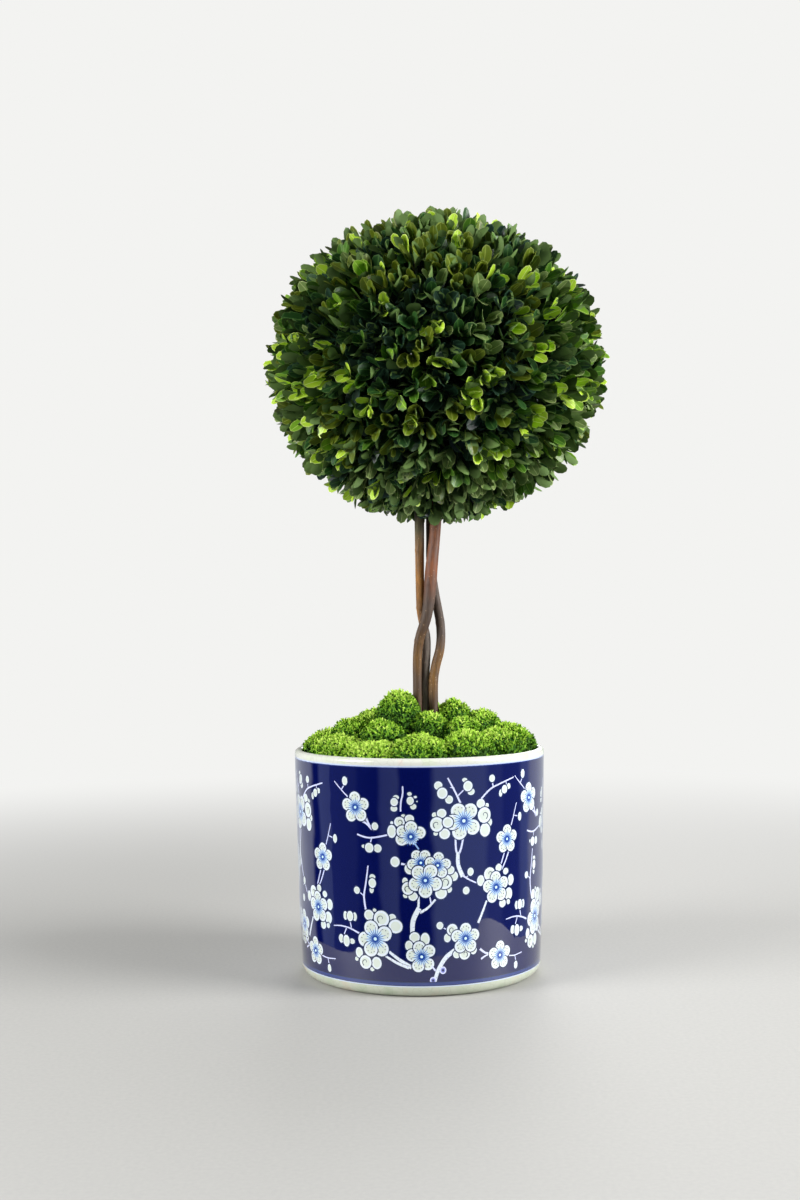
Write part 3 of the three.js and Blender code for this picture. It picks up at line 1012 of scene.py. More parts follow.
def vine_bark(name, stretches, shift):
    """Dried vine bark: golden where it is rubbed and grey where the skin is left, with fine fibres.

    The stretches are heights in millimetres with the colour there. The shift is in metres and makes
    each stem's pattern its own.
    """
    made, tree, shader = new_material(name, {"IOR": 1.45})
    place = object_place(tree)
    up = add(tree, "SeparateXYZ", "Z", {"Vector": place})
    height = remap(tree, up, (BARK_LOW * MM, BARK_HIGH * MM), (0, 1))
    rubbed = ramp(tree, height, [((z - BARK_LOW) / (BARK_HIGH - BARK_LOW), hue) for z, hue in stretches])
    shifted = add(tree, "Mapping", "Vector", {"Vector": place, "Location": (shift, shift, 0)})
    long_way = add(tree, "Mapping", "Vector", {"Vector": shifted, "Scale": (1, 1, 0.22)})
    longer_way = add(tree, "Mapping", "Vector", {"Vector": shifted, "Scale": (1, 1, 0.06)})
    patch = spots(tree, long_way, 6, 3.0, 0.55)
    fibre = spots(tree, longer_way, 0.7, 4.0, 0.6)
    freckles = cells(tree, shifted, 3.5)
    skinned = mix(tree, remap(tree, patch, (0.42, 0.7), (0.0, 0.7)), rubbed, SKIN)
    lined = mix(tree, remap(tree, fibre, (0.35, 0.6), (0.5, 0.0)), skinned, CRACK)
    dotted = mix(tree, remap(tree, freckles, (0.05, 0.15), (0.6, 0.0)), lined, FRECKLE)
    finish = {"Base Color": dotted, "Roughness": gloss(tree, patch, 0.72, 0.5)}
    finish["Normal"] = bump(tree, fibre, 0.6, 0.3)
    connect(tree, shader, finish)
    return made


STEM_SIDES = 36
PATTERN_SHIFTS = (0.0, 0.3, 0.7)
JOINT_SEEDS = (1.0, 4.0, 7.5)
JOINT_SPACING = 46 * MM
JOINT_WIDTH = 1.6 * MM
RIDGE_DEPTH = 0.256 * MM
JOINT_DEPTH = 0.28 * MM
BARK_THICKNESS = 0.2 * MM


def ridge(turn, height, seed):
    """Relief round and along a stem, from -1 to 1: broad ridges with finer ones on them."""
    broad = (math.cos(turn) * 1.7, math.sin(turn) * 1.7, height / (30 * MM) + seed)
    fine = (math.cos(turn) * 4, math.sin(turn) * 4, height / (14 * MM) + seed)
    return 0.65 * noise.noise(Vector(broad)) + 0.35 * noise.noise(Vector(fine))


def bark_stem(name, seed, material):
    """A stem with its bark relief, in place of the plain tube."""
    line, radii = stem_lines[name]
    turns = np.arange(STEM_SIDES) * 2 * math.pi / STEM_SIDES
    relief = np.zeros((len(line), STEM_SIDES))
    for i, height in enumerate(line[:, 2]):
        far = ((height + seed * 9 * MM) % JOINT_SPACING) - JOINT_SPACING / 2
        joint = JOINT_DEPTH * math.exp(-((far / JOINT_WIDTH) ** 2))
        for k, turn in enumerate(turns):
            swelling = joint * (0.6 + 0.4 * math.cos(turn + far * 900))
            relief[i, k] = ridge(turn, height, seed) * RIDGE_DEPTH + swelling
    points, faces = tube(line, radii[:, None] + relief + BARK_THICKNESS, STEM_SIDES)
    stem = make_piece(name + "_bark", points, faces, [material], "stem_bark", sharp=60)
    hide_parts(name)
    return stem


barks = []
for name, seed, shift in zip(STEMS, JOINT_SEEDS, PATTERN_SHIFTS):
    barks.append(vine_bark(name.replace("stem", "vine_bark"), BARK[name], shift))
    bark_stem(name, seed, barks[-1])

# %% [markdown]
# ## The boughs inside the ball
#
# Inside the ball each stem goes on as a leader. The branching rule is a simple one: every limb forks
# towards its own share of the ball's surface. Directions are spread evenly over the ball, few for the
# boughs, more for the twigs and most for the sprigs. Each direction grows from the limb one level
# lower that points nearest to it, and leaves it at a slant, as a real side shoot does.

# %% Shape of the ball
rng = np.random.default_rng(20)
crown_low, crown_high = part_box("crown")
CROWN_MIDDLE = np.array((crown_low + crown_high) / 2)
CROWN_RADIUS = (crown_high.x - crown_low.x) / 2
crown_points, crown_faces = node_mesh("crown")
crown_tree = BVHTree.FromPolygons(crown_points.tolist(), crown_faces.tolist())
GOLDEN_TURN = math.pi * (3 - math.sqrt(5))


def reach(direction):
    """How far the clipped surface lies from the middle of the ball in a direction, in metres."""
    return crown_tree.ray_cast(Vector(CROWN_MIDDLE), Vector(direction))[3]


def spread_directions(count, wobble):
    """Directions spread evenly over a ball, each moved a little at random."""
    k = np.arange(count) + 0.5
    z = 1 - 2 * k / count
    flat = np.sqrt(1 - z * z)
    turn = k * GOLDEN_TURN
    even = np.stack([flat * np.cos(turn), flat * np.sin(turn), z], -1)
    moved = even + rng.normal(0, wobble / math.sqrt(count), (count, 3))
    return moved / np.linalg.norm(moved, axis=1, keepdims=True)


print("the ball is", (np.array(crown_high - crown_low) / MM).round(), "mm")

# %% Limbs by the branching rule
LEADER_WAYS = [(-0.30, 0.10, 0.30), (0.10, -0.30, 0.36), (0.28, 0.22, 0.24)]
BOUGHS = 30
TWIGS = 210
SPRIGS = 960
TWIG_INSET = 46 * MM
SPRIG_INSET = 16.5 * MM
SPRIG_WANDER = 0.28
BOUGH_SHARE = 0.5
PARENT_PULL = 0.6
TOP_CLIP = 0.3


def limb(start, start_way, end, end_way, steps):
    """A smooth line that leaves in one direction and arrives in another."""
    t = np.linspace(0, 1, steps + 1)[:, None]
    length = np.linalg.norm(end - start)
    return (
        (2 * t**3 - 3 * t**2 + 1) * start
        + (t**3 - 2 * t**2 + t) * start_way * length
        + (3 * t**2 - 2 * t**3) * end
        + (t**3 - t**2) * end_way * length
    )


def fork(parents, directions, share, inset, low_start, steps, wander=0.1):
    """Grows one limb towards each direction from the parent that points nearest to it."""
    ways = np.array([p["way"] for p in parents])
    grown = []
    for direction in directions:
        line = parents[int(np.argmax(ways @ direction))]["line"]
        at = int((low_start + (1 - low_start) * rng.random()) * (len(line) - 1))
        start_way = line[min(at + 1, len(line) - 1)] - line[max(at - 1, 0)]
        start_way = start_way / np.linalg.norm(start_way) * PARENT_PULL + direction * (1 - PARENT_PULL)
        depth = inset * (0.8 + 0.4 * rng.random() + TOP_CLIP * max(direction[2], 0) ** 3)
        end = CROWN_MIDDLE + direction * (reach(direction) * share - depth)
        lean = direction + rng.normal(0, wander, 3)
        lean /= np.linalg.norm(lean)
        grown.append({"line": limb(line[at], start_way, end, lean, steps), "way": direction})
    return grown


leaders = []
for name, way in zip(STEMS, np.array(LEADER_WAYS)):
    line, radii = stem_lines[name]
    tip_way = line[-1] - line[-12]
    tip_way /= np.linalg.norm(tip_way)
    end = CROWN_MIDDLE + way * CROWN_RADIUS
    leaders.append({"line": limb(line[-1], tip_way, end, tip_way, 24), "way": way})
boughs = []
for direction in spread_directions(BOUGHS, 0.4):
    leader = max(leaders, key=lambda each: each["way"][:2] @ direction[:2])
    boughs += fork([leader], [direction], BOUGH_SHARE, 0, 0.25 + 0.45 * max(direction[2], 0), 10)
twigs = fork(boughs, spread_directions(TWIGS, 0.5), 1.0, TWIG_INSET, 0.35, 8)
sprigs = fork(twigs, spread_directions(SPRIGS, 0.7), 1.0, SPRIG_INSET, 0.6, 10, SPRIG_WANDER)
print(len(leaders), "leaders,", len(boughs), "boughs,", len(twigs), "twigs,", len(sprigs), "sprigs")


# %% Limb meshes
def limb_tubes(limbs, thick, thin, sides):
    """A tapering tube round each limb, with its radius at both ends in millimetres."""
    return [
        tube(each["line"], np.linspace(thick * MM, thin * MM, len(each["line"])), sides) for each in limbs
    ]


def twig_wood():
    """Young box wood: matt, olive brown, with a fine streak along it."""
    made, tree, shader = new_material("box_wood", {"Base Color": "#4a4a2c", "IOR": 1.45})
    grain = spots(tree, object_place(tree), 1.5, 3.0)
    connect(tree, shader, {"Roughness": gloss(tree, grain, 0.55, 0.8)})
    return made


thick_limbs = join(limb_tubes(leaders, 3.2, 2.0, 12) + limb_tubes(boughs, 1.9, 1.1, 8))
make_piece("crown_boughs", *thick_limbs, [barks[0]], "stem_bark")
thin_limbs = join(limb_tubes(twigs, 1.0, 0.7, 5) + limb_tubes(sprigs, 0.65, 0.35, 4))
make_piece("crown_twigs", *thin_limbs, [twig_wood()], "box_foliage")

# %% [markdown]
# ## The leaves
#
# A box leaf is small, thick and spoon shaped: narrow at its stalk, widest past the middle, with a round
# tip, a pale midrib and a pale edge. Leaves sit on a sprig in pairs, each pair a quarter turn from the
# last, and lean outward more the lower they sit. One leaf is drawn once as numbers from 0 to 1, and then
# bent, cupped and placed ten thousand times with array arithmetic. The edge and the midrib are faces
# of their own, so they can take a paler green than the blade.

# %% One leaf
STATIONS = [0.2, 0.46, 0.72, 0.92]
RIB_STATIONS = [0.2, 0.72, 0.9]
BACK_STATIONS = [0.3, 0.6, 0.86]
WIDEST = 0.6
STALK = 0.1
BLADE, EDGE, UNDERSIDE = 0, 1, 2


def half_width(t):
    """Half the leaf's width at a share of its length, as a share of its greatest half width."""
    if t < WIDEST:
        return STALK + (1 - STALK) * math.sin(math.pi / 2 * max(t - 0.08, 0) / (WIDEST - 0.08)) ** 1.3
    return math.sqrt(max(1 - ((t - WIDEST) / (1 - WIDEST)) ** 2, 0))


def leaf_template():
    """A leaf's points as (length share, width share, edge inset, rise), its faces and their kinds."""
    outline = [(0, STALK / 2)] + [(t, half_width(t)) for t in STATIONS] + [(1, 0)]
    outline += [(t, -w) for t, w in outline[-2::-1]]
    points = [(t, w, 0, 0) for t, w in outline]
    points += [(t, w, 1, 0.1) for t, w in outline[1:-1]]
    points += [(t, side * 0.05, 0, -0.12) for t in RIB_STATIONS for side in (1, -1)]
    points += [(t, 0, 0, -0.45) for t in BACK_STATIONS]
    inner = 10
    rib = 20
    root, belly, nose = 26, 27, 28
    edge = [(a, a + 1, inner + a + 1, inner + a) for a in range(1, 9)]
    edge.append((0, 1, 11, rib, rib + 1, 19, 9, 10))
    blade = []
    for side, (a, b, c, d) in ((0, (11, 12, 13, 14)), (1, (19, 18, 17, 16))):
        low, middle, high = rib + side, rib + 2 + side, rib + 4 + side
        rings = [(a, b, c, middle, low), (c, d, high, middle), (d, 15, high)]
        blade += rings if side == 0 else [ring[::-1] for ring in rings]
    midrib = [(rib, rib + 2, rib + 3, rib + 1), (rib + 2, rib + 4, rib + 5, rib + 3), (rib + 4, 15, rib + 5)]
    under = [(10, 9, root, 0), (1, 0, root), (2, 1, root, belly), (3, 2, belly), (4, 3, belly, nose)]
    under += [(5, 4, nose), (6, 5, nose), (7, 6, nose, belly), (8, 7, belly), (9, 8, belly, root)]
    faces = []
    kinds = []
    for kind, rings in ((EDGE, edge), (BLADE, blade), (EDGE, midrib), (UNDERSIDE, under)):
        for ring in rings:
            faces += [(ring[0], ring[i + 1], ring[i]) for i in range(1, len(ring) - 1)]
            kinds += [kind] * (len(ring) - 2)
    return np.array(points), np.array(faces), np.array(kinds)


def plain_leaf_template():
    """A leaf for the shade inside the ball: the same outline in twelve faces."""
    outline = [(0, 0), (0.34, half_width(0.34)), (0.76, half_width(0.76)), (1, 0)]
    outline += [(0.76, -half_width(0.76)), (0.34, -half_width(0.34))]
    points = [(t, w, 0, 0) for t, w in outline] + [(0.55, 0, 0, -0.05), (0.55, 0, 0, -0.4)]
    faces = [(6, (i + 1) % 6, i) for i in range(6)] + [(7, i, (i + 1) % 6) for i in range(6)]
    return np.array(points), np.array(faces), np.array([BLADE] * 6 + [UNDERSIDE] * 6)


fine_leaf = leaf_template()
plain_leaf = plain_leaf_template()
print("one leaf has", len(fine_leaf[0]), "points and", len(fine_leaf[1]), "triangles")

# %% [markdown]
# Each pair of leaves has its place on the sprig, counted from the tip. Young leaves at the tip stand
# almost upright and are small; older ones lower down lean out and are full sized. A row below is the
# distance from the tip in millimetres, the least and the greatest lean in degrees, and the least and
# the greatest length in millimetres.

# %% Leaves on the sprigs
PAIRS = [
    (0.0, 3, 20, 14.5, 20.0),
    (6.5, 6, 32, 17.5, 23.0),
    (14.0, 10, 44, 19.0, 25.0),
    (21.5, 18, 58, 19.0, 25.0),
    (28.0, 34, 78, 17.0, 22.0),
    (34.0, 45, 85, 15.0, 20.0),
]
FINE_PAIRS = 4
TURN_SPREAD = 0.45
ROLL_SPREAD = 0.3
SLENDER, BROAD = 0.22, 0.285
EDGE_WIDTH = 0.4 * MM


def leaf_places(limbs, pairs):
    """Foot, direction, face direction and length of each leaf, with the numbers of its sprig and pair."""
    rows = []
    for number, each in enumerate(limbs):
        line = each["line"]
        along, across, other = side_directions(line)
        from_tip = np.concatenate([[0], np.cumsum(np.linalg.norm(np.diff(line[::-1], axis=0), axis=1))])
        first_turn = rng.random() * math.pi
        for pair, (down, lean_low, lean_high, short, long) in pairs:
            at = float(np.interp(down * MM, from_tip, np.arange(len(line))[::-1]))
            i = min(int(at), len(line) - 2)
            foot = line[i] + (line[i + 1] - line[i]) * (at - i)
            for side in (0, 1):
                turn = first_turn + pair * math.pi / 2 + side * math.pi + rng.normal(0, TURN_SPREAD)
                lean = math.radians(rng.uniform(lean_low, lean_high))
                out = math.cos(turn) * across[i] + math.sin(turn) * other[i]
                way = math.cos(lean) * along[i] + math.sin(lean) * out
                face = math.sin(lean) * along[i] - math.cos(lean) * out
                rows.append((foot, way, face, rng.uniform(short, long) * MM, (number, pair)))
    return [np.array(column) for column in zip(*rows)]


def place_leaves(template, places):
    """Points of every leaf: bent along its length, cupped across, rolled a little on its stalk."""
    feet, ways, faces, lengths, sprays = places
    along, aside, edge, rise = template[0].T[:, None]
    count = len(feet)
    lengths = lengths[:, None]
    roll = rng.normal(0, ROLL_SPREAD, (count, 1))
    up = faces * np.cos(roll) + np.cross(faces, ways) * np.sin(roll)
    across = np.cross(up, ways)
    width = lengths * rng.uniform(SLENDER, BROAD, count)[:, None]
    x = along * lengths
    y = aside * width
    middle_x = WIDEST * lengths
    inset = edge * EDGE_WIDTH / (np.hypot(x - middle_x, y) + 1e-9)
    x = x + (middle_x - x) * inset
    y = y - y * inset
    bend = rng.normal(-0.06, 0.12, count)[:, None]
    cup = rng.uniform(0.0, 0.45, count)[:, None]
    z = rise * MM + bend * lengths * along**2 + cup * y**2 / width
    steps = ((x, ways), (y, across), (z, up))
    return feet[:, None] + sum(far[..., None] * way[:, None] for far, way in steps)


def leaf_uv(template):
    """A UV for each corner of a leaf: the upper side in the lower half, the underside above it."""
    shape, faces, kinds = template
    uv = np.stack([0.5 + 0.46 * shape[:, 1], 0.02 + 0.46 * shape[:, 0]], -1)[faces]
    uv[kinds == UNDERSIDE, :, 1] += 0.5
    return uv


# %% [markdown]
# The leaves were dyed and waxed, so their upper side has a soft sheen, and the underside is paler and
# matt. The greens differ by spray, not by leaf: a whole shoot is young and yellow green, or old and blue
# green. Each spray gets one of seven plain greens. Neighbours are alike because the choice follows a
# slow wave through the ball, with some chance added. The greens lean olive towards the top and the left,
# and sage towards the right, where the paler sage is painted light. Sprays in the middle of the front
# and at the bottom are painted darker, as painted shade, and those at the two sides and on the right
# lighter, as painted light. Lime ones are rare, but less so at the two sides, also as painted light.


# %% Leaf finishes
GREENS = {
    "blue_green": ("#142b1c", "#30503a"),
    "deep_green": ("#1f4118", "#446b2e"),
    "box_green": ("#3c6416", "#6c9036"),
    "fresh_green": ("#6a9422", "#a4c256"),
    "lime_green": ("#a8ca32", "#d0e280"),
    "olive_green": ("#50600f", "#7f8c34"),
    "sage_green": ("#667c41", "#a0b070"),
}
UNDERSIDE_GREEN = "#5f7a3e"
VEINS = 230.0
VEIN_SLANT = -0.35


def waxed_leaf(name, colour, rough_low, rough_high):
    """One plain green with a waxed skin, and slanting veins that show only in its relief."""
    made, tree, shader = new_material(name, {"Base Color": colour, "IOR": 1.4})
    place = add(tree, "UVMap", "UV", uv_map="OFBake")
    skin = add(tree, "TexNoise", "Fac", {"Vector": place, "Scale": 9.0, "Detail": 3.0})
    across = add(tree, "SeparateXYZ", "X", {"Vector": place})
    along = add(tree, "SeparateXYZ", "Y", {"Vector": place})
    side = calculate(tree, "ABSOLUTE", calculate(tree, "SUBTRACT", across, 0.5))
    slant = calculate(tree, "MULTIPLY_ADD", side, VEIN_SLANT, along)
    vein = calculate(tree, "SINE", calculate(tree, "MULTIPLY", slant, VEINS))
    finish = {"Roughness": gloss(tree, skin, rough_low, rough_high), "Normal": bump(tree, vein, 0.25, 0.05)}
    connect(tree, shader, finish)
    return made


leaf_materials = []
for name, (blade, edge) in GREENS.items():
    leaf_materials.append(waxed_leaf("leaf_" + name, blade, 0.28, 0.42))
    leaf_materials.append(waxed_leaf("leaf_edge_" + name, edge, 0.45, 0.6))
leaf_materials.append(waxed_leaf("leaf_underside", UNDERSIDE_GREEN, 0.6, 0.75))
UNDERSIDE_SLOT = len(leaf_materials) - 1
FRESH, LIME, OLIVE, SAGE = 3, 4, 5, 6
print(len(GREENS), "greens for the leaves and their edges, and one for every underside")

# %% Greens dealt out by spray
OLIVE_SIDE = Vector((-0.8, 0.0, 0.6))
OLIVE_ABOVE = 0.32
SAGE_BELOW = -0.46
# How much darker the sprays in the middle of the front are painted, as painted shade.
FRONT_PAINTED_SHADE = 0.75
LIME_SHARE = 0.025
# The added chance of lime at the two sides is painted light.
LIME_AT_SIDES = 0.06
YOUNG_AND_LIT_SHARE = 0.14
# One step brighter for each green, for tip leaves: partly young growth, partly painted light.
BRIGHTER = np.array([1, 2, 3, 3, 4, 5, 6])
# One step darker for each green, as painted shade deep inside the ball.
PAINTED_SHADE_DARKER = np.array([0, 0, 1, 2, 3, 1, 1])


def slow_noise(way, scale, shift):
    """A value that changes slowly from spray to spray round the ball."""
    return noise.noise(Vector(way * scale + shift))


def green_of_spray(way):
    """The number of a spray's green, from blue green to fresh green, or olive, sage or lime."""
    right, back, up = way
    wave = slow_noise(way, 2.0, 3) + 0.5 * slow_noise(way, 6.0, 5)
    # The lean towards olive and sage follows a slow wave, chance and the side of the ball; more sage towards
    # the right is painted light.
    dye_and_painted_light = slow_noise(way, 1.7, 9) + 0.4 * rng.normal() + 0.42 * OLIVE_SIDE.dot(Vector(way))
    # Painted shade darkens sprays in the middle of the front and at the bottom; painted light brightens
    # those at the two sides and on the right.
    youth_and_painted_light = 1.35 - FRONT_PAINTED_SHADE * max(-back, 0) ** 3 + 0.8 * abs(right) + 0.2 * right - 0.6 * max(-up, 0)
    number = int(np.clip(round(youth_and_painted_light + 2.2 * wave + rng.normal(0, 0.7)), 0, FRESH))
    if dye_and_painted_light > OLIVE_ABOVE:
        number = OLIVE
    if dye_and_painted_light < SAGE_BELOW:
        number = SAGE
    # Lime is likelier at the two sides, as painted light.
    return LIME if rng.random() < LIME_SHARE + LIME_AT_SIDES * abs(right) else number


def greens_of_leaves(spray_greens, sprays, pairs):
    """The green of each leaf: its spray's, brighter at the tip of some sprays and darker deep inside.

    The brighter tips are partly young growth and partly painted light; the darker leaves inside are painted
    shade.
    """
    own = spray_greens[sprays]
    young_and_lit = rng.random(len(spray_greens))[sprays]
    # Tip leaves of some sprays are brighter, partly young growth and partly painted light.
    own = np.where((pairs == 0) & (young_and_lit < 0.5), BRIGHTER[own], own)
    own = np.where((pairs <= 1) & (young_and_lit < YOUNG_AND_LIT_SHARE), LIME, own)
    # Leaves deep inside the ball are one step darker, and two steps deeper still, as painted shade.
    own = np.where(pairs >= 2, PAINTED_SHADE_DARKER[own], own)
    return np.where(pairs >= 3, PAINTED_SHADE_DARKER[own], own)


def leaf_pieces(name, template, places, greens, count):
    """Joins leaves into this many pieces, in bands from the bottom of the ball to its top."""
    shape, leaf_faces, kinds = template
    points = place_leaves(template, places)
    leaf_greens = greens_of_leaves(greens, *places[4].T)
    order = np.argsort(places[0][:, 2], kind="stable")
    made = []
    for band, chosen in enumerate(np.array_split(order, count)):
        faces = (leaf_faces[None] + np.arange(len(chosen))[:, None, None] * len(shape)).reshape(-1, 3)
        slots = 2 * leaf_greens[chosen][:, None] + kinds[None]
        slots[:, kinds == UNDERSIDE] = UNDERSIDE_SLOT
        uv = np.tile(leaf_uv(template), (len(chosen), 1, 1, 1))
        leaves = points[chosen].reshape(-1, 3)
        values = (leaves, faces, leaf_materials, "box_foliage", slots.ravel(), uv, 60)
        made.append(make_piece(f"{name}_{band + 1}", *values))
    return made


numbered = list(enumerate(PAIRS))
sprig_greens = np.array([green_of_spray(each["way"]) for each in sprigs])
outer_places = leaf_places(sprigs, numbered[:FINE_PAIRS])
outer_leaves = leaf_pieces("crown_leaves", fine_leaf, outer_places, sprig_greens, 4)
inner_places = leaf_places(sprigs, numbered[FINE_PAIRS:])
leaf_pieces("crown_inner_leaves", plain_leaf, inner_places, sprig_greens, 1)
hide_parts("crown")

# %% [markdown]
# ## The moss
#
# Dyed cushion moss is a soft mound with a skin of short curled fronds, bright at their tips and dark
# between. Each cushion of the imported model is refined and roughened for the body. The fronds are small
# bent blades, spread by area over what shows and leaning with the surface. Loose moss of the same kind
# covers the foam that shows between the cushions.

# %% Moss cushions
MOSS_NODES = [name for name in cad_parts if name.startswith("moss_")]
MOSS_LUMP = 12 * MM
MOSS_RELIEF = 1.8 * MM
MOSS_CUTS = 2


def moss_body(node):
    """A cushion with its faces cut finer and pushed in and out into small lumps."""
    shape = node_shape(node, MOSS_CUTS)
    shape.normal_update()
    for vert in shape.verts:
        far = noise.voronoi(vert.co / MOSS_LUMP)[0][0]
        lump = 0.5 - far**2 * 2.2 + 0.4 * noise.noise(vert.co / MOSS_LUMP * 3)
        vert.co += vert.normal * (max(lump, -0.6) * MOSS_RELIEF) * max(vert.normal.z + 0.3, 0) ** 0.5
    return shape_arrays(shape)


def moss_ground():
    """The shaded body of the moss: dark green felt, clumped a few millimetres wide."""
    made, tree, shader = new_material("moss_ground", {"Roughness": 0.95, "IOR": 1.4})
    clump = spots(tree, object_place(tree), 3, 5.0)
    colour = ramp(tree, clump, [(0.35, "#1a3a0c"), (0.55, "#2f5a14"), (0.7, "#47781e")])
    connect(tree, shader, {"Base Color": colour, "Normal": bump(tree, clump, 0.8, 1.2)})
    return made


cushions = [moss_body(node) for node in MOSS_NODES]
moss_points, moss_faces = join(cushions)
moss_tree = BVHTree.FromPolygons(moss_points.tolist(), moss_faces.tolist())
moss_cushions = make_piece("moss_cushions", moss_points, moss_faces, [moss_ground()], "moss")
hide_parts(*MOSS_NODES)

# %% Moss fronds
FRONDS = 36000
FROND_ROWS = ((-0.12, 0.6), (0.4, 1.0), (0.78, 0.8))
FROND_FACES = np.array([(0, 1, 3), (0, 3, 2), (2, 3, 5), (2, 5, 4), (4, 5, 6)])
FROND_POINTS = 2 * len(FROND_ROWS) + 1
STEEPEST = -0.25
COVER_LIFT = 0.3 * MM
COVER_REACH = 4 * MM


def scatter(corners, weights, tries):
    """Chance places on triangles, as many on each as its weight asks, with the triangle's number."""
    for face in rng.choice(len(weights), tries, p=weights / weights.sum()):
        yield face, rng.dirichlet((1, 1, 1)) @ corners[face]


def open_places(count):
    """Places on the moss that no other cushion covers, the way it faces there, and its triangles."""
    corners, area, facing = triangle_sizes(moss_points, moss_faces)
    found = []
    for face, place in scatter(corners, area * (facing[:, 2] > STEEPEST), 2 * count):
        way = facing[face]
        start = Vector(place + way * COVER_LIFT)
        if moss_tree.ray_cast(start, Vector(way + (0, 0, 0.3)), COVER_REACH)[0] is None:
            found.append((place, way, face))
        if len(found) == count:
            break
    return [np.array(column) for column in zip(*found)]


def frond_points(places, ways, size=1.0):
    """The points of each frond: a blade that narrows and curls over."""
    count = len(places)
    lean = rng.normal(0, 0.55, (count, 3))
    lean -= ways * (lean * ways).sum(1, keepdims=True)
    rise = ways + lean + (0, 0, 0.25)
    rise /= np.linalg.norm(rise, axis=1, keepdims=True)
    across = np.cross(rise, rng.normal(0, 1, (count, 3)))
    across /= np.linalg.norm(across, axis=1, keepdims=True)
    over = np.cross(across, rise)
    length = rng.uniform(2.2, 4.0, (count, 1)) * MM * size
    width = rng.uniform(0.5, 0.95, (count, 1)) * MM * size
    curl = rng.uniform(0.3, 0.9, (count, 1))
    rows = []
    for t, wide in FROND_ROWS:
        middle = places + rise * length * (t - 0.2 * curl * t**2) + over * length * curl * t**2
        rows += [middle - across * width * wide, middle + across * width * wide]
    rows.append(places + rise * length * (1 - 0.3 * curl) + over * length * curl)
    return np.stack(rows, 1)


frond_places, frond_ways, faces_under = open_places(FRONDS)
fronds = frond_points(frond_places, frond_ways)
print(len(fronds), "fronds")

# %% Moss greens
# Five steps of one moss green, from dark to light. Which step a frond takes is mostly painted light and
# shade, with the moss's own patches and chance.
FROND_GREENS = ["#355c10", "#578a1b", "#7fae28", "#9dc63a", "#bcdb5a"]
SHADE_REACH = 24 * MM
CUSHION_SPREAD = 0.35
CUSHION_SHADE = 16 * MM
PATCH_WIDTH = 16 * MM

# A frond's tone is this much lighter for open sky, for facing up and for standing high, which is painted
# light and shade, and by patches.
DARKEST = -1.5
BY_SKY, BY_FACING, BY_RISE, BY_PATCH, BY_CHANCE = 2.4, 1.0, 2.0, 0.8, 0.75
LOW_SKY = [Vector((math.cos(a) * 0.8, math.sin(a) * 0.8, 0.6)) for a in np.arange(6) * math.pi / 3]
SKY_WAYS = [*LOW_SKY, Vector((0, 0, 1))]


def moss_frond(number, colour):
    """One plain green of dyed moss: matt, with a grain of half a millimetre in its gloss."""
    made, tree, shader = new_material(f"moss_frond_{number}", {"Base Color": colour, "IOR": 1.4})
    connect(tree, shader, {"Roughness": gloss(tree, spots(tree, object_place(tree), 0.5), 0.7, 0.95)})
    return made


def openness(place, way):
    """Share of the sky that a frond sees past the cushions round it."""
    start = Vector(place + way * 1.2 * MM)
    return sum(moss_tree.ray_cast(start, sky, SHADE_REACH)[0] is None for sky in SKY_WAYS) / len(SKY_WAYS)


def height_share(place, own):
    """How far up its own cushion a frond stands: 1 at the top, and 0 this far below it."""
    top = cushions[own][0][:, 2].max()
    return min(max(1 - (top - place[2]) / CUSHION_SHADE, 0), 1)


def frond_piece(name, points, slots):
    """Joins fronds into one piece, with a green for each frond."""
    faces = (FROND_FACES[None] + np.arange(len(points))[:, None, None] * FROND_POINTS).reshape(-1, 3)
    slots = np.repeat(slots, len(FROND_FACES))
    return make_piece(name, points.reshape(-1, 3), faces, frond_materials, "moss", slots)


frond_materials = [moss_frond(i + 1, colour) for i, colour in enumerate(FROND_GREENS)]
open_sky = np.array([openness(*pair) for pair in zip(frond_places, frond_ways)])
patches = np.array([noise.noise(Vector(p / PATCH_WIDTH)) for p in frond_places])
cushion_tones = rng.normal(0, CUSHION_SPREAD, len(cushions))
cushion_of_face = np.repeat(np.arange(len(cushions)), [len(faces) for points, faces in cushions])
own_cushion = cushion_of_face[faces_under]
own_rise = np.array([height_share(*pair) for pair in zip(frond_places, own_cushion)])
# Painted light and shade: fronds are darker where cushions hide the sky, where they face down and low on
# their cushion. The cushion, patch and chance tones are the moss's own.
tones = DARKEST + BY_SKY * open_sky + BY_FACING * frond_ways[:, 2] + BY_RISE * own_rise
tones += cushion_tones[own_cushion] + BY_PATCH * patches + rng.normal(0, BY_CHANCE, len(fronds))
frond_slots = np.clip(tones.round(), 0, len(FROND_GREENS) - 1).astype(int)
frond_piece("moss_fronds", fronds, frond_slots)

# %% Loose moss between the cushions
FOAM_TRIES = 40000
FOAM_TOP_DEPTH = 30 * MM
FOAM_REACH = 78 * MM
LOOSE_SIZE = 2.2


def foam_places(tries):
    """Places on the foam's domed top that no cushion covers, clear of the pot, and the way it faces."""
    points, triangles = node_mesh("filling")
    corners, area, facing = triangle_sizes(points, triangles)
    lowest = points[:, 2].max() - FOAM_TOP_DEPTH
    top = area * (facing[:, 2] > 0.5) * (corners[:, :, 2].min(1) > lowest)
    found = []
    for face, place in scatter(corners, top, tries):
        covered = moss_tree.ray_cast(Vector(place), Vector((0, 0, 1)))[0] is not None
        if not covered and math.hypot(place[0], place[1]) < FOAM_REACH:
            found.append((place, facing[face]))
    return [np.array(column) for column in zip(*found)]


loose = frond_points(*foam_places(FOAM_TRIES), LOOSE_SIZE)
frond_piece("moss_loose", loose, rng.integers(0, len(FROND_GREENS) - 1, len(loose)))


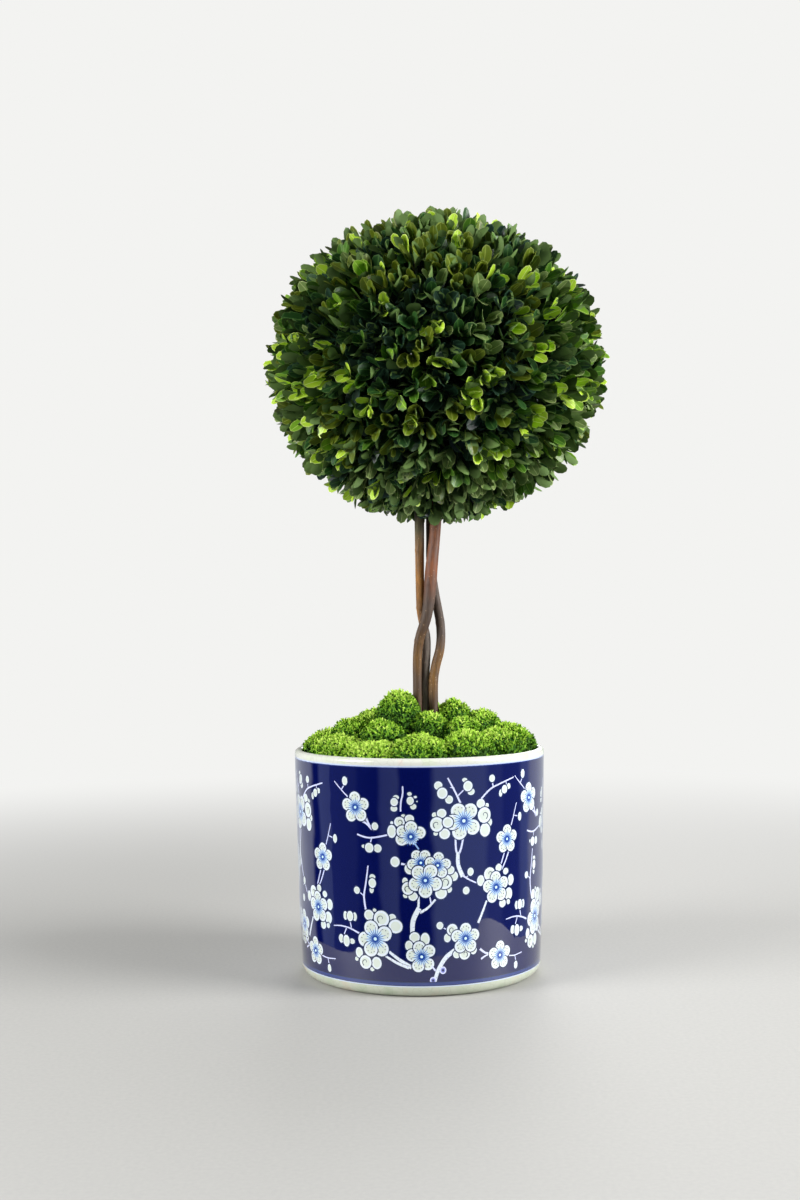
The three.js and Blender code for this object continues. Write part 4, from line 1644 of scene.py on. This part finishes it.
# %% Dry foam
def dry_foam():
    """The dark dry foam that holds the stems: matt, open pored."""
    made, tree, shader = new_material("dry_foam", {"Roughness": 0.95, "IOR": 1.4})
    pore = cells(tree, object_place(tree), 1.0)
    colour = ramp(tree, pore, [(0.1, "#1c2416"), (0.6, "#38452a")])
    connect(tree, shader, {"Base Color": colour, "Normal": bump(tree, pore, 0.6, 0.6)})
    return made


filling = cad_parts["filling"]
filling.data.materials.clear()
filling.data.materials.append(dry_foam())

# %% [markdown]
# ## Floor and light
#
# A glazed pot shows the room in its skin, so the light matters as much as the glaze. The plant stands on
# a pale table under a soft bright sky. A camera a little above the table sees, in the upright wall of
# the pot, first the table near the pot and then what lies below the table's edge: the dimmer lower part
# of a room, with a few pale upright things in it. The table here is endless for the eye, but for light
# it ends: a hand's breadth from the pot for what the glaze mirrors, with one corner that reaches further,
# and half a metre out for the light that it throws up at the leaves. The room is given by direction
# alone, so every view of the plant gets the same light.

# %% Floor
MIRRORED_EDGE = 0.205
CORNER_REACH = 0.12
CORNER_TURN = math.radians(56)
CORNER_WIDTH = math.radians(20)
LIT_EDGE = 0.55
FADE = (0.2, 1.5)
WALL_COLOUR = "#f3f3f1"
FLOOR_SIZE = 12.0


def rays(tree, kind):
    """1 for rays of this kind and 0 for others."""
    return add(tree, "LightPath", f"Is {kind} Ray")


def mix_shaders(tree, share, first, second):
    """The first shader where the share is 0 and the second where it is 1."""
    return add(tree, "MixShader", "Shader", {0: share, 1: first, 2: second})


def table_edge(tree, place):
    """How far from the pot the table ends, in metres, for a mirrored ray and for scattered light."""
    corner = (math.sin(CORNER_TURN), -math.cos(CORNER_TURN), 0)
    way = add(tree, "VectorMath", "Vector", {0: place}, operation="NORMALIZE")
    towards = add(tree, "VectorMath", "Value", {0: way, 1: corner}, operation="DOT_PRODUCT")
    reaches = (MIRRORED_EDGE, MIRRORED_EDGE + CORNER_REACH)
    mirrored = remap(tree, towards, (math.cos(CORNER_WIDTH), 1.0), reaches)
    return remap(tree, rays(tree, "Glossy"), (0, 1), (LIT_EDGE, mirrored))


def matt_table():
    """A pale matt table. It fades into the wall behind it, and light passes it beyond its edge."""
    made, tree, shader = new_material("pale_table", {"IOR": 1.45, "Roughness": 0.6})
    place = object_place(tree)
    colour = ramp(tree, spots(tree, place, 3, 4.0), [(0.3, "#a8a7a4"), (0.7, "#aeada9")])
    connect(tree, shader, {"Base Color": colour})
    matt = shader.outputs["BSDF"]
    far = add(tree, "VectorMath", "Value", {0: place}, operation="LENGTH")
    beyond = calculate(tree, "GREATER_THAN", far, table_edge(tree, place))
    lit = mix_shaders(tree, beyond, matt, add(tree, "BsdfTransparent", "BSDF"))
    fade = remap(tree, far, FADE, (0, 1), interpolation_type="SMOOTHSTEP")
    seen = mix_shaders(tree, fade, matt, add(tree, "Emission", "Emission", {"Color": WALL_COLOUR}))
    surface = mix_shaders(tree, rays(tree, "Camera"), lit, seen)
    connect(tree, tree.nodes["Material Output"], {"Surface": surface})
    return made


half = FLOOR_SIZE / 2
floor_corners = [(-half, -half, 0), (half, -half, 0), (half, half, 0), (-half, half, 0)]
table_mesh = bpy.data.meshes.new("table")
table_mesh.from_pydata(floor_corners, [], [(0, 1, 2, 3)])
table_mesh.materials.append(matt_table())
table = bpy.data.objects.new("table", table_mesh)
bpy.context.scene.collection.objects.link(table)
print("the table is", FLOOR_SIZE, "m across")

# %% Room
PALE, SOFT, BRIGHT, GREY_BLUE, DIM = "#bcc0c8", "#7f8db0", "#98a8c8", "#66739a", "#465070"
NIGHT, NEAR_BLACK = "#0a0c14", "#05060a"
LOW_ROOM = [
    (-178, -120, PALE, PALE),
    (-115, -108, NIGHT, NIGHT),
    (-104, -92, SOFT, SOFT),
    (-88, -62, DIM, "#46506e"),
    (-58, -40, "#20283c", NIGHT),
    (-36, -22, "#7280a6", SOFT),
    (-19, 8, NEAR_BLACK, NEAR_BLACK),
    (14, 60, BRIGHT, BRIGHT),
    (66, 78, GREY_BLUE, GREY_BLUE),
    (83, 102, DIM, DIM),
    (107, 116, SOFT, SOFT),
    (122, 178, PALE, PALE),
]
SKY = [(0.0, "#cfd1d3"), (0.5, "#c6c8c9"), (1.0, "#96999b")]
ROOM_STRENGTH = 0.47
MIRRORED_STRENGTH = 1.05


def round_the_room(stretches):
    """Stops for a ramp round the room from angles in degrees, 0 at the front and growing to the right."""
    ends = [end for start, stop, first, last in stretches for end in ((start, first), (stop, last))]
    return sorted(((0.25 + turn / 360) % 1, colour) for turn, colour in ends)


room = bpy.data.worlds.new("room")
room.use_nodes = True
bpy.context.scene.world = room
tree = room.node_tree
way = add(tree, "TexCoord", "Generated")
around = add(tree, "TexGradient", "Fac", {"Vector": way}, gradient_type="RADIAL")
height = add(tree, "SeparateXYZ", "Z", {"Vector": way})
above = calculate(tree, "GREATER_THAN", height, 0.0)
colour = mix(tree, above, ramp(tree, around, round_the_room(LOW_ROOM)), ramp(tree, height, SKY))
mirrored = remap(tree, rays(tree, "Glossy"), (0, 1), (ROOM_STRENGTH, MIRRORED_STRENGTH))
strength = remap(tree, above, (0, 1), (mirrored, ROOM_STRENGTH))
soft_room = tree.nodes["Background"]
connect(tree, soft_room, {"Color": colour, "Strength": strength})
wall_light = add(tree, "Background", "Background", {"Color": WALL_COLOUR, "Strength": 1.0})
shown = mix_shaders(tree, rays(tree, "Camera"), soft_room.outputs["Background"], wall_light)
connect(tree, tree.nodes["World Output"], {"Surface": shown})
print(2 * len(LOW_ROOM), "stops round the room")

# %% [markdown]
# Three large soft lamps stand round the plant: a key lamp and a side lamp a little to the front, one on
# each side, and a weak lamp behind that keeps the far side of the ball from going black.

# %% Lamps
LAMPS = [
    ("key", (-1.4, -0.7, 0.8), 36.0),
    ("side", (1.45, -0.5, 0.8), 47.0),
    ("back", (0.3, 1.4, 0.8), 9.0),
]
LAMP_SIZE = 1.0
AIM = Vector((0, 0, 0.4))
for name, place, power in LAMPS:
    light = bpy.data.lights.new(name, "AREA")
    light.shape = "DISK"
    light.size = LAMP_SIZE
    light.energy = power
    lamp = bpy.data.objects.new(name, light)
    lamp.location = place
    lamp.rotation_euler = (AIM - Vector(place)).to_track_quat("-Z", "Y").to_euler()
    bpy.context.scene.collection.objects.link(lamp)
print(len(LAMPS), "lamps")
